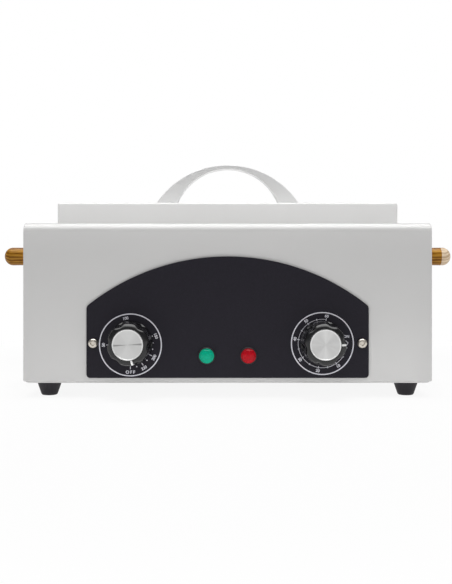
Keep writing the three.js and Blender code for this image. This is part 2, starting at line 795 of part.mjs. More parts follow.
function controls() {
  control('thermostat', dials[0][1],
    { width: thermostatPlateWidth, height: thermostatPlateHeight },
    { width: thermostatBodyWidth, height: thermostatBodyHeight, depth: thermostatBodyDepth },
    { radius: thermostatCupRadius, depth: thermostatCupDepth });
  control('timer', dials[1][1],
    { width: timerPlateWidth, height: timerPlateHeight },
    { width: timerBodyWidth, height: timerBodyHeight, depth: timerBodyDepth },
    { radius: timerBellRadius, depth: timerBellDepth });
  knob('temperature', dials[0][1], temperatureIndexDegrees);
  knob('timer', dials[1][1], timerIndexDegrees);
}

// Chamber tank, hung by its flange
function chamberTank() {
  const outer = softBlock(tankOuterWidth, tankOuterBreadth, tankFloor - tankWall, flangeTop,
    tankCorner + tankWall, tankBottomRadius + tankWall, 'bottom');
  const flange = alongZ(centredOutline(
    tankOuterWidth + 2 * tankFlangeWidth, tankOuterBreadth + 2 * tankFlangeWidth,
    tankCorner + tankFlangeWidth), flangeBottom, flangeTop);
  const hollow = softBlock(tankWidth, tankBreadth, tankFloor, flangeTop + overrun,
    tankCorner, tankBottomRadius, 'bottom');
  add('chamber_tank', cut(join(outer, flange), hollow), stainless, 0, middleY);
}

function heaterRoute() {
  const y = heaterHalfSpan;
  const low = heaterLevel - heaterTail;
  return bentRoute([
    new THREE.Vector3(heaterReach, -y, low),
    new THREE.Vector3(heaterReach, -y, heaterLevel),
    new THREE.Vector3(-heaterReach, -y, heaterLevel),
    new THREE.Vector3(-heaterReach, y, heaterLevel),
    new THREE.Vector3(heaterReach, y, heaterLevel),
    new THREE.Vector3(heaterReach, y, low),
  ], heaterBend);
}

function heating() {
  const plate = centredOutline(
    tankWidth - 2 * heaterPlateMargin, tankBreadth - 2 * heaterPlateMargin, tankBottomRadius);
  add('heater_plate', alongZ(plate, heaterPlateBottom, heaterPlateTop), spunAluminium, 0, middleY);
  add('heater_element', wire(heaterRadius, heaterRoute(), heaterSteps), plainSteel, 0, middleY);
  const top = heaterPlateBottom - seat;
  const half = cutoutRadius + cutoutTabLength;
  const disc = rod(cutoutRadius, top - cutoutThickness, top, 'up');
  const tab = box(-half, half, -cutoutTabWidth / 2, cutoutTabWidth / 2,
    top - cutoutThickness / 2 - cutoutTabThickness, top - cutoutThickness / 2);
  add('thermal_cutout', join(disc, tab), blackPlastic, cutoutOffset, middleY);
}

// Thermostat bulb under the heater plate, with its capillary down to the thermostat
function thermostatBulb() {
  const level = heaterPlateBottom - seat - bulbRadius;
  const dialX = dialShift - dialOffset;
  const cupBack = casingWall + seat + controlPlateThickness + thermostatBodyDepth + thermostatCupDepth;
  const route = bentRoute([
    new THREE.Vector3(dialX, cupBack + seat, dialHeight),
    new THREE.Vector3(dialX, middleY, dialHeight),
    new THREE.Vector3(dialX, middleY, level),
    new THREE.Vector3(dialX + bulbLength / 2, middleY, level),
  ], capillaryBend);
  const bulbStart = dialX + 2 * capillaryBend;
  const bulb = rod(bulbRadius, bulbStart, bulbStart + bulbLength, 'right').translate(0, middleY, level);
  add('thermostat_bulb', join(wire(capillaryRadius, route, capillarySteps), bulb), copper);
}

function lowerPasses(z0, z1) {
  const passes = [];
  for (const [, side] of sides) {
    const pin = rod(heaterRadius + passClearance, z0, z1, 'up');
    passes.push(pin.translate(heaterReach, middleY + side * heaterHalfSpan, 0));
  }
  const capillary = rod(capillaryRadius + passClearance, z0, z1, 'up');
  passes.push(capillary.translate(dialShift - dialOffset, middleY, 0));
  return passes;
}

function insulation() {
  const width = tankOuterWidth + 2 * insulationSide;
  const breadth = tankOuterBreadth + 2 * insulationSide;
  const block = alongZ(centredOutline(width, breadth, insulationCorner), insulationBottom, insulationTop)
    .translate(0, middleY, 0);
  const hollow = alongZ(centredOutline(
    tankOuterWidth + 2 * seat, tankOuterBreadth + 2 * seat, tankCorner + tankWall + seat),
    insulationFloorTop, insulationTop + overrun).translate(0, middleY, 0);
  const passes = lowerPasses(insulationBottom - overrun, insulationFloorTop + overrun);
  add('tank_insulation', cut(block, hollow, ...passes), fibre);
}

function heatShield() {
  const halfWidth = bodyHalfWidth - casingWall - seat;
  const front = casingWall + seat;
  const back = bodyDepth - casingWall - seat;
  const flange = (side) => box(
    Math.min(side * halfWidth, side * (halfWidth - shieldThickness)),
    Math.max(side * halfWidth, side * (halfWidth - shieldThickness)),
    front, back, shieldTop - shieldFlange, shieldTop);
  const sheet = box(-halfWidth, halfWidth, front, back, shieldBottom, shieldTop);
  const passes = lowerPasses(shieldBottom - overrun, shieldTop + overrun);
  add('heat_shield', cut(join(sheet, flange(-1), flange(1)), ...passes), stainless);
}

function terminalBlock() {
  const y = bodyDepth - terminalFromBack;
  const bottom = basePlateTop + seat;
  const top = bottom + terminalHeight;
  const block = box(-terminalWidth / 2, terminalWidth / 2, -terminalBreadth / 2, terminalBreadth / 2,
    bottom, top);
  const tools = [];
  for (let i = 0; i < terminalWays; i += 1) {
    const x = (i - (terminalWays - 1) / 2) * terminalPitch;
    tools.push(rod(terminalHoleRadius, top - terminalHoleDepth, top + overrun, 'up').translate(x, 0, 0));
  }
  add('terminal_block', cut(block, ...tools), palePlastic, glandOffset, y);
}

// Cable gland in the back wall, with its lock nut inside
function cableGland() {
  const start = seat;
  const hexEnd = start + glandHexLength;
  const end = hexEnd + glandDomeLength;
  const thread = -casingWall - glandThreadLength;
  const dome = turned([
    [0, thread], [glandThreadRadius, thread], [glandThreadRadius, hexEnd - seat],
    [glandDomeRadius, hexEnd - seat], [glandDomeRadius, hexEnd + glandDomeLength / 2],
    [glandMouthRadius, end], [0, end],
  ], 'back');
  const hex = rod(glandHexRadius, start, hexEnd, 'back', hexSides);
  const bore = rod(glandBoreRadius, thread - overrun, end + overrun, 'back', roundSides);
  add('cable_gland', cut(join(hex, dome), bore), blackPlastic, glandOffset, bodyDepth, glandHeight);
  const nutFront = -casingWall - seat;
  const lockNut = hexNut(glandThreadRadius + shaftClearance, glandHexRadius,
    nutFront - glandNutThickness, nutFront, 'back');
  add('gland_lock_nut', lockNut, blackPlastic, glandOffset, bodyDepth, glandHeight);
}

// A wooden side peg with its washer, held by a bolt from inside the casing
function sidePeg(name, side) {
  const direction = side > 0 ? 'right' : 'left';
  const x = side * bodyHalfWidth;
  const washerStart = seat;
  const washerEnd = washerStart + pegWasherThickness;
  const bore = pegBoltRadius + panelHoleClearance;
  const washer = turned([
    [bore, washerStart], [pegWasherRadius, washerStart], [pegWasherRadius, washerEnd],
    [bore, washerEnd], [bore, washerStart],
  ], direction);
  add(`peg_washer_${name}`, washer, nickel, x, middleY, pegHeight);
  const start = washerEnd + seat;
  const boreEnd = start + pegBoltDepth;
  const domeStart = pegReach - pegDome;
  const profile = [
    [0, boreEnd], [bore, boreEnd], [bore, start], [pegFootRadius, start],
    [pegRadius, start + pegFootLength], [pegRadius, domeStart],
  ];
  for (let i = 1; i < pegDomeSteps; i += 1) {
    const angle = Math.PI / 2 * i / pegDomeSteps;
    profile.push([pegRadius * Math.cos(angle), domeStart + pegDome * Math.sin(angle)]);
  }
  profile.push([0, pegReach]);
  add(`side_peg_${name}`, turned(profile, direction), wood, x, middleY, pegHeight);
  const headEnd = -casingWall - seat;
  const bolt = turned([
    [0, headEnd - pegBoltHeadHeight], [pegBoltHeadRadius, headEnd - pegBoltHeadHeight],
    [pegBoltHeadRadius, headEnd], [pegBoltRadius, headEnd], [pegBoltRadius, boreEnd - seat],
    [0, boreEnd - seat],
  ], direction);
  add(`peg_bolt_${name}`, bolt, plainSteel, x, middleY, pegHeight);
}

// Lid: painted shell, liner that drops into the tank, insulation between, and a bow handle
function handleLeg(height) {
  const outer = Math.sqrt(handleOuterRadius ** 2 - (height - handleOuterCentre) ** 2);
  const inner = Math.sqrt(handleInnerRadius ** 2 - (height - handleInnerCentre) ** 2);
  return { outer, inner, middle: (outer + inner) / 2 };
}

function lidHandle(screwX) {
  const leg = handleLeg(0);
  const outerHalf = Math.atan2(leg.outer, -handleOuterCentre);
  const innerHalf = Math.atan2(leg.inner, -handleInnerCentre);
  const shape = new THREE.Shape([
    ...arcPoints(handleOuterRadius, handleOuterCentre, outerHalf, -outerHalf, handleArcSteps),
    ...arcPoints(handleInnerRadius, handleInnerCentre, -innerHalf, innerHalf, handleArcSteps),
  ]);
  const options = {
    depth: handleBreadth - 2 * handleEdge,
    bevelThickness: handleEdge,
    bevelSize: handleEdge,
    bevelOffset: -handleEdge,
    bevelSegments: edgeSteps,
  };
  const bow = new THREE.ExtrudeGeometry(shape, options)
    .rotateX(Math.PI / 2).translate(0, handleBreadth / 2 - handleEdge, handleFoot);
  const bores = sides.map(([, side]) => rod(handleScrewRadius + shaftClearance,
    handleFoot - overrun, handleFoot + handleScrewDepth, 'up').translate(side * screwX, 0, 0));
  add('lid_handle', cut(bow, ...bores), handlePaint, 0, middleY);
}

function lid() {
  const insideTop = lidTop - lidWall;
  const screwX = handleLeg(handleScrewDepth / 2).middle;
  const holes = sides.map(([, side]) => rod(handleScrewRadius + panelHoleClearance,
    insideTop - overrun, lidTop + overrun, 'up').translate(side * screwX, 0, 0));
  const shell = cut(
    softBlock(lidWidth, lidBreadth, lidBottom, lidTop, lidCorner, lidEdgeRadius, 'top'),
    softBlock(lidWidth - 2 * lidWall, lidBreadth - 2 * lidWall, lidBottom - overrun, insideTop,
      lidCorner - lidWall, lidEdgeRadius - lidWall, 'top'),
    ...holes);
  add('lid_shell', shell, lidPaint, 0, middleY);

  const flangeWidth = lidWidth - 2 * (lidWall + seat);
  const flangeBreadth = lidBreadth - 2 * (lidWall + seat);
  const plugWidth = tankWidth - 2 * linerClearance;
  const plugBreadth = tankBreadth - 2 * linerClearance;
  const plugCorner = tankCorner - linerClearance;
  const liner = cut(
    join(
      softBlock(plugWidth, plugBreadth, linerBottom, linerFlangeTop, plugCorner, linerEdgeRadius, 'bottom'),
      alongZ(centredOutline(flangeWidth, flangeBreadth, lidCorner - lidWall), linerFlangeBottom,
        linerFlangeTop)),
    softBlock(plugWidth - 2 * linerWall, plugBreadth - 2 * linerWall, linerBottom + linerWall,
      linerFlangeTop + overrun, plugCorner - linerWall, linerEdgeRadius - linerWall, 'bottom'));
  add('lid_liner', liner, stainless, 0, middleY);

  const fillWidth = plugWidth - 2 * (linerWall + seat);
  const fillBreadth = plugBreadth - 2 * (linerWall + seat);
  const fillTop = insideTop - seat;
  const edge = linerEdgeRadius - linerWall;
  const upper = alongZ(centredOutline(flangeWidth - 2 * lidEdgeRadius, flangeBreadth - 2 * lidEdgeRadius,
    lidCorner - lidWall), linerFlangeTop + seat, fillTop);
  const lower = softBlock(fillWidth, fillBreadth, linerBottom + linerWall + seat,
    (linerFlangeTop + fillTop) / 2, plugCorner - linerWall, edge, 'bottom');
  const pockets = sides.map(([, side]) => rod(handleScrewHeadRadius + headPocketClearance,
    fillTop - handleScrewHeadHeight - headPocketClearance, fillTop + overrun, 'up')
    .translate(side * screwX, 0, 0));
  add('lid_insulation', cut(join(upper, lower), ...pockets), fibre, 0, middleY);

  const headTop = insideTop - seat;
  const tip = handleFoot + handleScrewDepth - seat;
  for (const [name, side] of sides) {
    const screw = turned([
      [0, headTop - handleScrewHeadHeight], [handleScrewHeadRadius, headTop - handleScrewHeadHeight],
      [handleScrewHeadRadius, headTop], [handleScrewRadius, headTop], [handleScrewRadius, tip], [0, tip],
    ], 'up');
    add(`handle_screw_${name}`, screw, plainSteel, side * screwX, middleY);
  }
  lidHandle(screwX);
}

// Perforated instrument tray on two runners, with a folding wire bail at each end
function tray() {
  const outer = softBlock(trayWidth, trayBreadth, trayFloor, trayTop, trayCorner, trayWall, 'bottom');
  const rim = alongZ(centredOutline(trayWidth + 2 * trayRim, trayBreadth + 2 * trayRim,
    trayCorner + trayRim), trayTop - trayRimThickness, trayTop);
  const hollow = alongZ(centredOutline(trayWidth - 2 * trayWall, trayBreadth - 2 * trayWall,
    trayCorner - trayWall), trayFloor + trayWall, trayTop + overrun);
  const runner = (y) => box(-trayRunnerLength / 2, trayRunnerLength / 2, y - trayRunnerWidth / 2,
    y + trayRunnerWidth / 2, trayBottom, trayFloor + trayWall / 2);
  const tools = [hollow];
  for (let column = 0; column < trayHoleColumns; column += 1) {
    const x = (column - (trayHoleColumns - 1) / 2) * trayHoleColumnPitch;
    for (let row = 0; row < trayHoleRows; row += 1) {
      const y = (row - (trayHoleRows - 1) / 2) * trayHoleRowPitch;
      tools.push(rod(trayHoleRadius, trayFloor - overrun, trayFloor + trayWall + overrun, 'up', holeSides)
        .translate(x, y, 0));
    }
  }
  const halfBreadth = trayBreadth / 2;
  for (const [, side] of sides) {
    tools.push(rod(bailWireRadius + bailHoleClearance, -halfBreadth - overrun, halfBreadth + overrun,
      'back').translate(side * bailPivotX, 0, bailPivotHeight));
  }
  const body = join(outer, rim, runner(-trayRunnerOffset), runner(trayRunnerOffset));
  add('instrument_tray', cut(body, ...tools), stainless, 0, middleY);
}

function bail(name, side) {
  const end = trayBreadth / 2 + bailEndReach;
  const leg = trayBreadth / 2 - trayWall - bailSideGap - bailWireRadius;
  const route = bentRoute([
    new THREE.Vector3(0, -end, 0),
    new THREE.Vector3(0, -leg, 0),
    new THREE.Vector3(0, -leg, -bailDrop),
    new THREE.Vector3(0, leg, -bailDrop),
    new THREE.Vector3(0, leg, 0),
    new THREE.Vector3(0, end, 0),
  ], bailBend);
  add(`bail_${name}`, wire(bailWireRadius, route, bailSteps), stainless,
    side * bailPivotX, middleY, bailPivotHeight);
}

casingShell();
basePlate();
underside();
frontPanel();
lamp('green', -1, greenPlastic);
lamp('red', 1, redPlastic);
controls();
chamberTank();
heating();
thermostatBulb();
insulation();
heatShield();
terminalBlock();
cableGland();
tray();
lid();
for (const [name, side] of sides) {
  panelScrew(name, side);
  sidePeg(name, side);
  bail(name, side);
}

export default group;
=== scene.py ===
# Dry heat sterilizer: fine shapes, finishes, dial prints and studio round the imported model.
# Metres, +Z up, +X to the right, and the control panel faces -Y.

import json
import math

import bmesh
import bpy
from mathutils import Matrix, Vector

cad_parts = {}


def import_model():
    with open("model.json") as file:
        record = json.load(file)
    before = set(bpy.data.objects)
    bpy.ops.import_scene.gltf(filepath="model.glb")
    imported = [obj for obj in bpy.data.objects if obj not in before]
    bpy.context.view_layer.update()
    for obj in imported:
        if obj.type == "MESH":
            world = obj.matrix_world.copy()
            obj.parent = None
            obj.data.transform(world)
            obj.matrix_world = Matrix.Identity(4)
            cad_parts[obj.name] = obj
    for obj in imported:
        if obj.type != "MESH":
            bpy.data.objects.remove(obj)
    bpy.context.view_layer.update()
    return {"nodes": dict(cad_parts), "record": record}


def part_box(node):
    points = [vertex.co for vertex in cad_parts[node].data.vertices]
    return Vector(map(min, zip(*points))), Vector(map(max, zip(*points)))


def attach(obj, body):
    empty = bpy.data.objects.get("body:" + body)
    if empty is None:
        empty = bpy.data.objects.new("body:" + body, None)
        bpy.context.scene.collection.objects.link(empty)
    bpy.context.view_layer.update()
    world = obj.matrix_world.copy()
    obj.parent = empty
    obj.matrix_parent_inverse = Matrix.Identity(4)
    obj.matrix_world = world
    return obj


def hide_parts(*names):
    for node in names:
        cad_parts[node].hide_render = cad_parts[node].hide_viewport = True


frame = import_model()

MM = 0.001
RIGHT, BACK, UP = Vector((1, 0, 0)), Vector((0, 1, 0)), Vector((0, 0, 1))
LEFT, FRONT, DOWN = -RIGHT, -BACK, -UP

# Camera: a portrait picture of 452 by 584, taken level from in front
CAMERA_PLACE = Vector((0, -0.89075, 0.1076))
CAMERA_LENS = 53.8
LONG_SIDE_PIXELS = 584
SHIFT_PIXELS = (-1.6, -12)

# Light: the world's fill, and the ceiling that reflections show, as height and brightness
WORLD_FILL = 0.5
REFLECTED_CEILING = ((0, 0.22), (0.22, 0.04), (0.74, 0.04), (0.86, 1), (1, 1))
REFLECTED_STRENGTH = 4.5
# Watts, size and place of each lamp, with its spread and tilt in degrees
LIGHTS = {
    "softbox": (1.9, (1.3, 0.9), (0, -0.1, 1.15), 40, 0),
    "bounce_card": (0.13, (0.38, 0.2), (0, -0.2, 0.002), 180, 180),
    "lid_strip": (0.02, (0.6, 0.03), (0, -1.05, 0.425), 6, 76),
}
FLOOR_ALBEDO = 0.88
FLOOR_HALF_WIDTH = 4
FLOOR_SHADOW_SHARE = 0.1
FLOOR_SHADOW_REACH = (0.25, 0.7)

# Steps of round shapes, and what cutters reach past a surface
ROUND_SIDES = 96
SMALL_SIDES = 48
TUBE_SIDES = 20
CORNER_STEPS = 8
SMALL_CORNER_STEPS = 4
TUBE_BEND_STEPS = 10
SMOOTH_ANGLE = 32
OVERRUN = 2 * MM


# Low-level shapes

def linked(name, data):
    piece = bpy.data.objects.new(name, data)
    bpy.context.scene.collection.objects.link(piece)
    return piece


def mesh_piece(name, points, faces):
    mesh = bpy.data.meshes.new(name)
    mesh.from_pydata([tuple(point) for point in points], [], faces)
    work = bmesh.new()
    work.from_mesh(mesh)
    bmesh.ops.recalc_face_normals(work, faces=work.faces)
    work.to_mesh(mesh)
    work.free()
    return linked(name, mesh)


def loft(name, rings):
    """Rings with the same count of points, joined by quads and filled at both ends."""
    count = len(rings[0])
    points = [point for ring in rings for point in ring]
    faces = []
    for a in range(0, len(points) - count, count):
        b = a + count
        for j in range(count):
            k = (j + 1) % count
            faces.append((a + j, a + k, b + k, b + j))
    faces.append(tuple(range(count)))
    faces.append(tuple(range(len(points) - count, len(points))))
    return mesh_piece(name, points, faces)


def across(axis):
    """Two directions square to an axis, the second one upwards where there is one."""
    second = UP if abs(axis.dot(UP)) < 0.5 else BACK
    return second.cross(axis).normalized(), second


def lathe(name, profile, place, axis, sides=ROUND_SIDES, shape=None):
    """Turns pairs of radius and height about an axis; shape may change a radius with its angle."""
    side, second = across(axis)
    rings = []
    points = []
    for radius, height, *extra in profile:
        centre = place + axis * height
        if radius == 0:
            rings.append([len(points)] * sides)
            points.append(centre)
            continue
        rings.append(list(range(len(points), len(points) + sides)))
        for i in range(sides):
            angle = 2 * math.pi * i / sides
            reach = shape(angle, radius, *extra) if shape else radius
            points.append(centre + (side * math.sin(angle) + second * math.cos(angle)) * reach)
    faces = []
    closed = profile[0][0] != 0
    for a, b in zip(rings, rings[1:] + ([rings[0]] if closed else [])):
        for i in range(sides):
            j = (i + 1) % sides
            face = list(dict.fromkeys((a[i], a[j], b[j], b[i])))
            if len(face) > 2:
                faces.append(face)
    return mesh_piece(name, points, faces)


def rows(table, rim=0, top=0):
    """Radius and height from a table in millimetres, counted from a rim and from a top."""
    return [(rim + radius * MM, top + height * MM, *rest) for radius, height, *rest in table]


def dome(radius, base, height, steps):
    """Radius and height over a dome, up to its middle."""
    turns = [math.pi / 2 * i / steps for i in range(1, steps)]
    side = [(radius * math.cos(turn), base + height * math.sin(turn)) for turn in turns]
    return side + [(0, base + height)]


def outline(left, right, low, high, low_radius, high_radius, steps=CORNER_STEPS):
    """Points round a rectangle whose lower and upper corners are rounded."""
    corners = (
        (right - low_radius, low + low_radius, low_radius, -90),
        (right - high_radius, high - high_radius, high_radius, 0),
        (left + high_radius, high - high_radius, high_radius, 90),
        (left + low_radius, low + low_radius, low_radius, 180),
    )
    points = []
    for x, y, radius, start in corners:
        for i in range(steps + 1):
            angle = math.radians(start + 90 * i / steps)
            points.append((x + radius * math.cos(angle), y + radius * math.sin(angle)))
    return points


def plan_ring(centre, half, corner, z, inset=0):
    """A level rounded rectangle round a centre, pulled in on all sides by an inset."""
    flat = outline(inset - half.x, half.x - inset, inset - half.y, half.y - inset,
                   corner - inset, corner - inset)
    return [Vector((centre.x + x, centre.y + y, z)) for x, y in flat]


def inward(half, amount):
    """A half size that is smaller by an amount in plan."""
    return half - Vector((amount, amount, 0))


def spaced(count, pitch):
    """Places at a pitch, with zero in their middle."""
    return [(i - (count - 1) / 2) * pitch for i in range(count)]


def quarter(radius, steps):
    """Pairs of depth and inset round a quarter circle, from the end face to the side."""
    for i in range(steps + 1):
        angle = math.pi / 2 * i / steps
        yield radius * (1 - math.cos(angle)), radius * (1 - math.sin(angle))


def setback(radius, depth):
    """How far a rounded edge stands back at a depth under its end face."""
    return radius - math.sqrt(max(radius**2 - max(radius - depth, 0)**2, 0))


def evaluated(piece):
    graph = bpy.context.evaluated_depsgraph_get()
    return bpy.data.meshes.new_from_object(piece.evaluated_get(graph))


def cut(piece, cutters):
    """Takes the cutters away from a piece and deletes them."""
    for cutter in cutters:
        step = piece.modifiers.new("cut", "BOOLEAN")
        step.operation = "DIFFERENCE"
        step.solver = "EXACT"
        step.object = cutter
    piece.data = evaluated(piece)
    piece.modifiers.clear()
    for cutter in cutters:
        bpy.data.objects.remove(cutter)


def joined(name, pieces):
    """One object of several, which are deleted."""
    work = bmesh.new()
    for piece in pieces:
        work.from_mesh(piece.data)
        bpy.data.objects.remove(piece)
    mesh = bpy.data.meshes.new(name)
    work.to_mesh(mesh)
    work.free()
    return linked(name, mesh)


def pin(place, axis, radius, wall):
    """A round cutter through a wall that starts at a place."""
    length = wall + 2 * OVERRUN
    profile = [(0, 0), (radius, 0), (radius, length), (0, length)]
    return lathe("cutter", profile, place - axis * OVERRUN, axis, SMALL_SIDES)


def window(centre, half, corner, low, high):
    """A rounded rectangular cutter through a level wall."""
    return loft("cutter", [plan_ring(centre, half, corner, z) for z in (low - OVERRUN, high + OVERRUN)])


def dress(piece, slot, body, *replaces, finish=None, smooth=SMOOTH_ANGLE):
    """Gives a piece the finish of its slot, its shading and its body, and hides the nodes that it
    stands for.
    """
    piece.data.materials.clear()
    piece.data.materials.append(finish or finishes[slot])
    piece.data.shade_smooth()
    piece.data.set_sharp_from_angle(angle=math.radians(smooth))
    even = piece.modifiers.new("even_normals", "WEIGHTED_NORMAL")
    even.keep_sharp = True
    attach(piece, body)
    if replaces:
        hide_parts(*replaces)


def extent(node):
    """Lowest corner, highest corner, middle and half size of a node."""
    low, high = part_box(node)
    return low, high, (low + high) / 2, (high - low) / 2


def middle(node):
    return extent(node)[2]


# Materials

class Nodes:
    """A node tree with short calls for its nodes."""

    def __init__(self, tree):
        self.tree = tree

    def fill(self, node, inputs):
        for key, value in inputs.items():
            socket = node.inputs[key if isinstance(key, int) else key.replace("_", " ")]
            if isinstance(value, bpy.types.NodeSocket):
                self.tree.links.new(value, socket)
            else:
                socket.default_value = value

    def node(self, kind, settings=None, *values, **inputs):
        """A new node with its settings, and its inputs filled in order or by name."""
        made = self.tree.nodes.new("ShaderNode" + kind)
        for key, value in (settings or {}).items():
            setattr(made, key, value)
        self.fill(made, {**dict(enumerate(values)), **inputs})
        return made

    def math(self, operation, *values, clamp=False):
        return self.node("Math", {"operation": operation, "use_clamp": clamp}, *values).outputs[0]

    def vector(self, operation, *values, output="Vector"):
        return self.node("VectorMath", {"operation": operation}, *values).outputs[output]

    def ramp(self, value, *stops, interpolation="LINEAR"):
        made = self.node("ValToRGB", Fac=value)
        made.color_ramp.interpolation = interpolation
        elements = made.color_ramp.elements
        while len(elements) < len(stops):
            elements.new(0.5)
        for element, (position, color) in zip(elements, stops):
            element.position = position
            element.color = (*color, 1)
        return made.outputs["Color"]

    def mix(self, factor, first, second, blend="MIX"):
        """Two colours blended by a factor."""
        made = self.node("Mix", {"data_type": "RGBA", "blend_type": blend}, Factor=factor)
        self.fill(made, {6: first, 7: second})
        return made.outputs[2]

    def output(self, kind, factor, first, second):
        """Ends the tree with two shaders mixed by a factor."""
        mixed = self.node("MixShader", None, factor, first.outputs[0], second.outputs[0])
        self.node(kind, Surface=mixed.outputs[0])


class Finish(Nodes):
    """A material on the Principled shader."""

    def __init__(self, name, **inputs):
        self.material = bpy.data.materials.new(name)
        self.material.use_nodes = True
        super().__init__(self.material.node_tree)
        self.shader = self.tree.nodes["Principled BSDF"]
        self.place = self.node("TexCoord").outputs["Object"]
        self.fill(self.shader, inputs)

    def moved(self, offset=(0, 0, 0), scale=(1, 1, 1)):
        """Object coordinates counted from a place, stretched by a scale."""
        return self.vector("MULTIPLY", self.vector("SUBTRACT", self.place, tuple(offset)), scale)

    def front_plane(self, centre):
        """X and Z about a place on the front, and both as a vector."""
        parts = self.node("SeparateXYZ", Vector=self.moved(centre)).outputs
        flat = self.node("CombineXYZ", X=parts["X"], Z=parts["Z"]).outputs[0]
        return parts["X"], parts["Z"], flat

    def noise(self, scale, detail=3, vector=None, **inputs):
        place = self.place if vector is None else vector
        made = self.node("TexNoise", Vector=place, Scale=scale, Detail=detail, **inputs)
        return made.outputs["Fac"]

    def color(self, socket):
        self.fill(self.shader, {"Base Color": socket})

    def shade(self, value, color, *stops):
        """Colours by a value, with a share of one colour at each stop."""
        self.color(self.ramp(value, *((place, tinted(color, share)) for place, share in stops)))

    def roughness(self, value, low, high):
        """Spreads a value of 0 to 1 over a range of roughness."""
        spread = self.node("MapRange", Value=value, To_Min=low, To_Max=high)
        self.fill(self.shader, {"Roughness": spread.outputs["Result"]})

    def bump(self, height, distance, strength):
        made = self.node("Bump", Height=height, Distance=distance, Strength=strength)
        self.fill(self.shader, {"Normal": made.outputs[0]})


# Height of each relief
PEEL_DEPTH = 0.012 * MM
LACQUER_DEPTH = 0.01 * MM
HANDLING_DEPTH = 0.008 * MM
MOULD_DEPTH = 0.02 * MM
BRUSH_DEPTH = 0.006 * MM
WOOD_DEPTH = 0.05 * MM
FELT_DEPTH = 0.5 * MM

# Place of the wood's heart below and behind the middle of a peg
WOOD_HEART = Vector((0, 4, -16)) * MM
WOOD_SHADES = ((0.05, (0.21, 0.082, 0.004)), (0.5, (0.35, 0.15, 0.01)), (0.95, (0.52, 0.26, 0.03)))
PORE_SHADES = ((0.35, (0.6, 0.55, 0.5)), (0.62, (1, 1, 1)))
# Painted highlight: paler wood shades for the lit end of the right peg
PAINTED_HIGHLIGHT_WOOD_SHADES = ((0.1, (0.6, 0.43, 0.27)), (0.8, (0.84, 0.68, 0.5)))
KNOB_SHADES = ((0.3, (0.005, 0.005, 0.006)), (0.8, (0.013, 0.013, 0.014)))
FELT_SHADES = ((0.3, (0.62, 0.58, 0.48)), (0.65, (0.83, 0.81, 0.73)))
# Share by which the cap's rim is painted brighter, a painted highlight on its chamfer
CAP_RIM_HIGHLIGHT_SHARE = 1.3


def tinted(color, share):
    return tuple(channel * share for channel in color)


def paint(name, color, roughness, coat=0.12):
    """Sprayed enamel: faint clouds, an orange peel and slightly uneven gloss."""
    finish = Finish(name, Specular_IOR_Level=0.45, Coat_Weight=coat, Coat_Roughness=0.18)
    finish.shade(finish.noise(9, 2), color, (0.3, 0.975), (0.7, 1.01))
    finish.roughness(finish.noise(60), roughness - 0.04, roughness + 0.05)
    finish.bump(finish.noise(700, 2), PEEL_DEPTH, 0.5)
    return finish.material


def lacquer(name, color):
    """Matt lacquer with a fine sparkle of grain."""
    finish = Finish(name, Specular_IOR_Level=0.16)
    grain = finish.noise(2600, 2)
    finish.shade(grain, color, (0.35, 0.8), (0.7, 1.3))
    finish.roughness(finish.noise(240), 0.42, 0.52)
    finish.bump(grain, LACQUER_DEPTH, 0.6)
    return finish.material


def ink(name, color):
    """Screen print, a little broken at its edges."""
    finish = Finish(name, Roughness=0.55, Specular_IOR_Level=0.3)
    finish.shade(finish.noise(1900, 2), color, (0.3, 0.8), (0.6, 1))
    return finish.material


def glossy_black(name):
    """Glossy moulded plastic with fine handling marks."""
    finish = Finish(name, Specular_IOR_Level=0.52)
    marks = finish.noise(900, 4)
    finish.color(finish.ramp(marks, *KNOB_SHADES))
    finish.roughness(finish.noise(300), 0.16, 0.27)
    finish.bump(marks, HANDLING_DEPTH, 0.5)
    return finish.material


def moulded(name, color, roughness):
    """Moulded plastic or rubber with a fine texture."""
    finish = Finish(name, Specular_IOR_Level=0.4)
    texture = finish.noise(1500)
    finish.shade(texture, color, (0.3, 0.85), (0.7, 1.12))
    finish.roughness(finish.noise(200), roughness - 0.06, roughness + 0.06)
    finish.bump(texture, MOULD_DEPTH, 0.6)
    return finish.material


def spun(name, centre, highlight_rim_from, color, roughness, arms, lean, shades):
    """Metal turned on a lathe about a centre on the front: fine rings, a fan of painted reflection
    streaks and a rim painted brighter as a painted highlight.
    """
    finish = Finish(name, Metallic=1, Anisotropic=0.7)
    x, z, flat = finish.front_plane(centre)
    radius = finish.vector("LENGTH", flat, output="Value")
    rings = finish.noise(2300, 1, finish.node("CombineXYZ", X=radius).outputs[0])
    wave = finish.math("SINE", finish.math("MULTIPLY_ADD", finish.math("ARCTAN2", z, x), arms, lean))
    # Painted reflection: darker and lighter streaks by angle round the cap, put into its colour
    painted_reflection_fan = finish.ramp(finish.math("ABSOLUTE", wave), *(
        (place, tinted(color, share)) for place, share in shades))
    # Painted highlight: the cap's outer rim is painted brighter
    rim = finish.math("GREATER_THAN", radius, highlight_rim_from)
    finish.color(finish.mix(rim, painted_reflection_fan, (*tinted(color, CAP_RIM_HIGHLIGHT_SHARE), 1)))
    finish.roughness(rings, roughness - 0.06, roughness + 0.08)
    finish.bump(rings, BRUSH_DEPTH, 0.6)
    tangent = finish.vector("CROSS_PRODUCT", finish.vector("NORMALIZE", flat), tuple(BACK))
    finish.fill(finish.shader, {"Tangent": tangent})
    return finish.material


def metal(name, color, roughness, stretch=(1, 1, 1)):
    """Rolled or plated metal, with brush lines along the axis that is stretched least."""
    finish = Finish(name, Metallic=1)
    lines = finish.noise(500, 3, finish.moved(scale=stretch))
    finish.shade(lines, color, (0.3, 0.93), (0.7, 1.03))
    finish.roughness(lines, roughness - 0.06, roughness + 0.08)
    finish.bump(lines, BRUSH_DEPTH, 0.5)
    return finish.material


